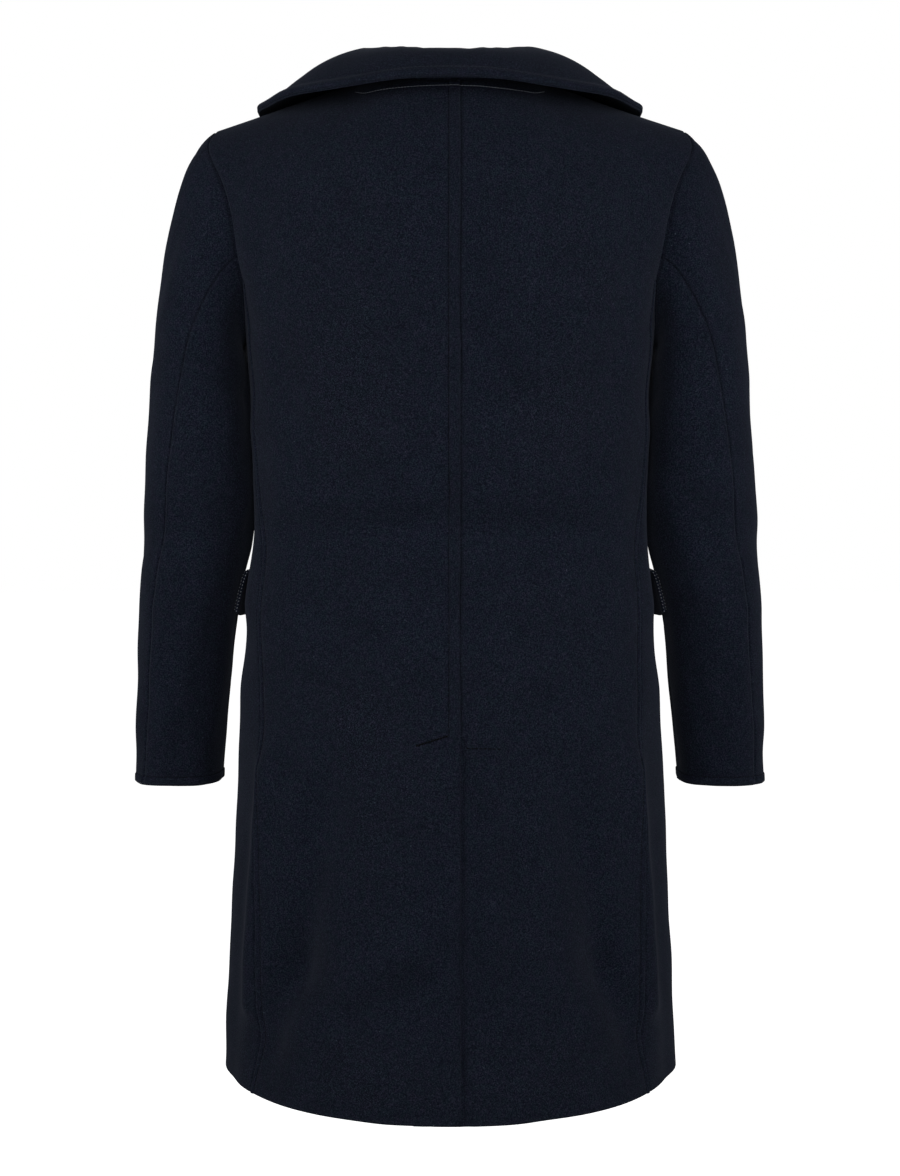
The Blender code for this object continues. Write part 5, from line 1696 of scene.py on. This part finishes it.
def build_room_light():
    """What the pale room sends back: from the floor, and from the wall behind the camera."""
    world = bpy.data.worlds.new("studio")
    world.use_nodes = True
    nodes, links = world.node_tree.nodes, world.node_tree.links
    parts = nodes.new("ShaderNodeSeparateXYZ")
    links.new(nodes.new("ShaderNodeTexCoord").outputs["Generated"], parts.inputs["Vector"])
    both = nodes.new("ShaderNodeMath")
    both.operation = "ADD"
    for k, (axis, reach, bright) in enumerate(ROOM_LIGHT):
        part = nodes.new("ShaderNodeMapRange")
        part.inputs["From Max"].default_value = reach
        part.inputs["To Max"].default_value = bright
        links.new(parts.outputs[axis], part.inputs["Value"])
        links.new(part.outputs["Result"], both.inputs[k])
    links.new(both.outputs["Value"], nodes["Background"].inputs["Color"])
    bpy.context.scene.world = world


def build_lights():
    for name, turn, climb, distance, size, power in LIGHTS:
        light = bpy.data.lights.new(name, "AREA")
        light.shape = "RECTANGLE"
        light.size, light.size_y = size
        light.energy = power
        made = bpy.data.objects.new(name, light)
        turn, climb = math.radians(turn), math.radians(climb)
        level = math.cos(climb)
        way = np.array([math.sin(turn) * level, math.cos(turn) * level, math.sin(climb)])
        made.location = np.array(AIM) + distance * way
        made.rotation_euler = (math.acos(way[2]), 0, math.atan2(way[0], -way[1]))
        bpy.context.scene.collection.objects.link(made)


def build_camera():
    camera = bpy.data.cameras.new("camera")
    camera.sensor_fit = "VERTICAL"
    camera.sensor_height = SENSOR
    camera.lens = LENS
    camera.clip_end = CAMERA_REACH
    made = bpy.data.objects.new("camera", camera)
    made.location = CAMERA_PLACE
    made.rotation_euler = (math.radians(90) - CAMERA_TILT, 0, math.pi)
    bpy.context.scene.collection.objects.link(made)
    bpy.context.scene.camera = made
    bpy.context.scene.view_settings.view_transform = "Standard"


def main():
    wool = wool_material()
    thread = thread_material("topstitch_thread", THREAD_NAVY)
    # the collar's and lapels' thread is lighter than the topstitching elsewhere, as a painted highlight
    grey_painted_highlight = thread_material("collar_thread_painted_highlight", COLLAR_THREAD_HIGHLIGHT)
    # the felling thread is pale as a painted highlight, to show bright in the shade under the collar
    felling_painted_highlight = thread_material("felling_thread_painted_highlight", FELLING_THREAD_HIGHLIGHT)
    # the flap's thread is pale as a painted highlight, to show bright in the shade beside the sleeve
    pale = thread_material("flap_thread_painted_highlight", FLAP_THREAD_HIGHLIGHT)
    horn = horn_material()
    rolls, necks = {}, {}
    for side in (1, -1):
        necks[side], behind = back_edges(side)
        beneath = side_edge(side)
        rolls[side], ahead = front_edges(side)
        build_back(side, wool, thread, felling_painted_highlight)
        build_side(side, wool)
        build_front(side, wool, thread)
        build_sleeve(side, chain([reverse_of(behind), beneath, ahead]), wool, thread)
        build_lapel(side, wool, grey_painted_highlight)
        build_flap(side, wool, pale)
    build_collar(necks, rolls, wool, grey_painted_highlight)
    for name, height in BUTTONS:
        build_button(name, height, horn, thread)
        build_buttonhole(name, height, thread)
    build_surroundings()
    build_room_light()
    build_lights()
    build_camera()


main()
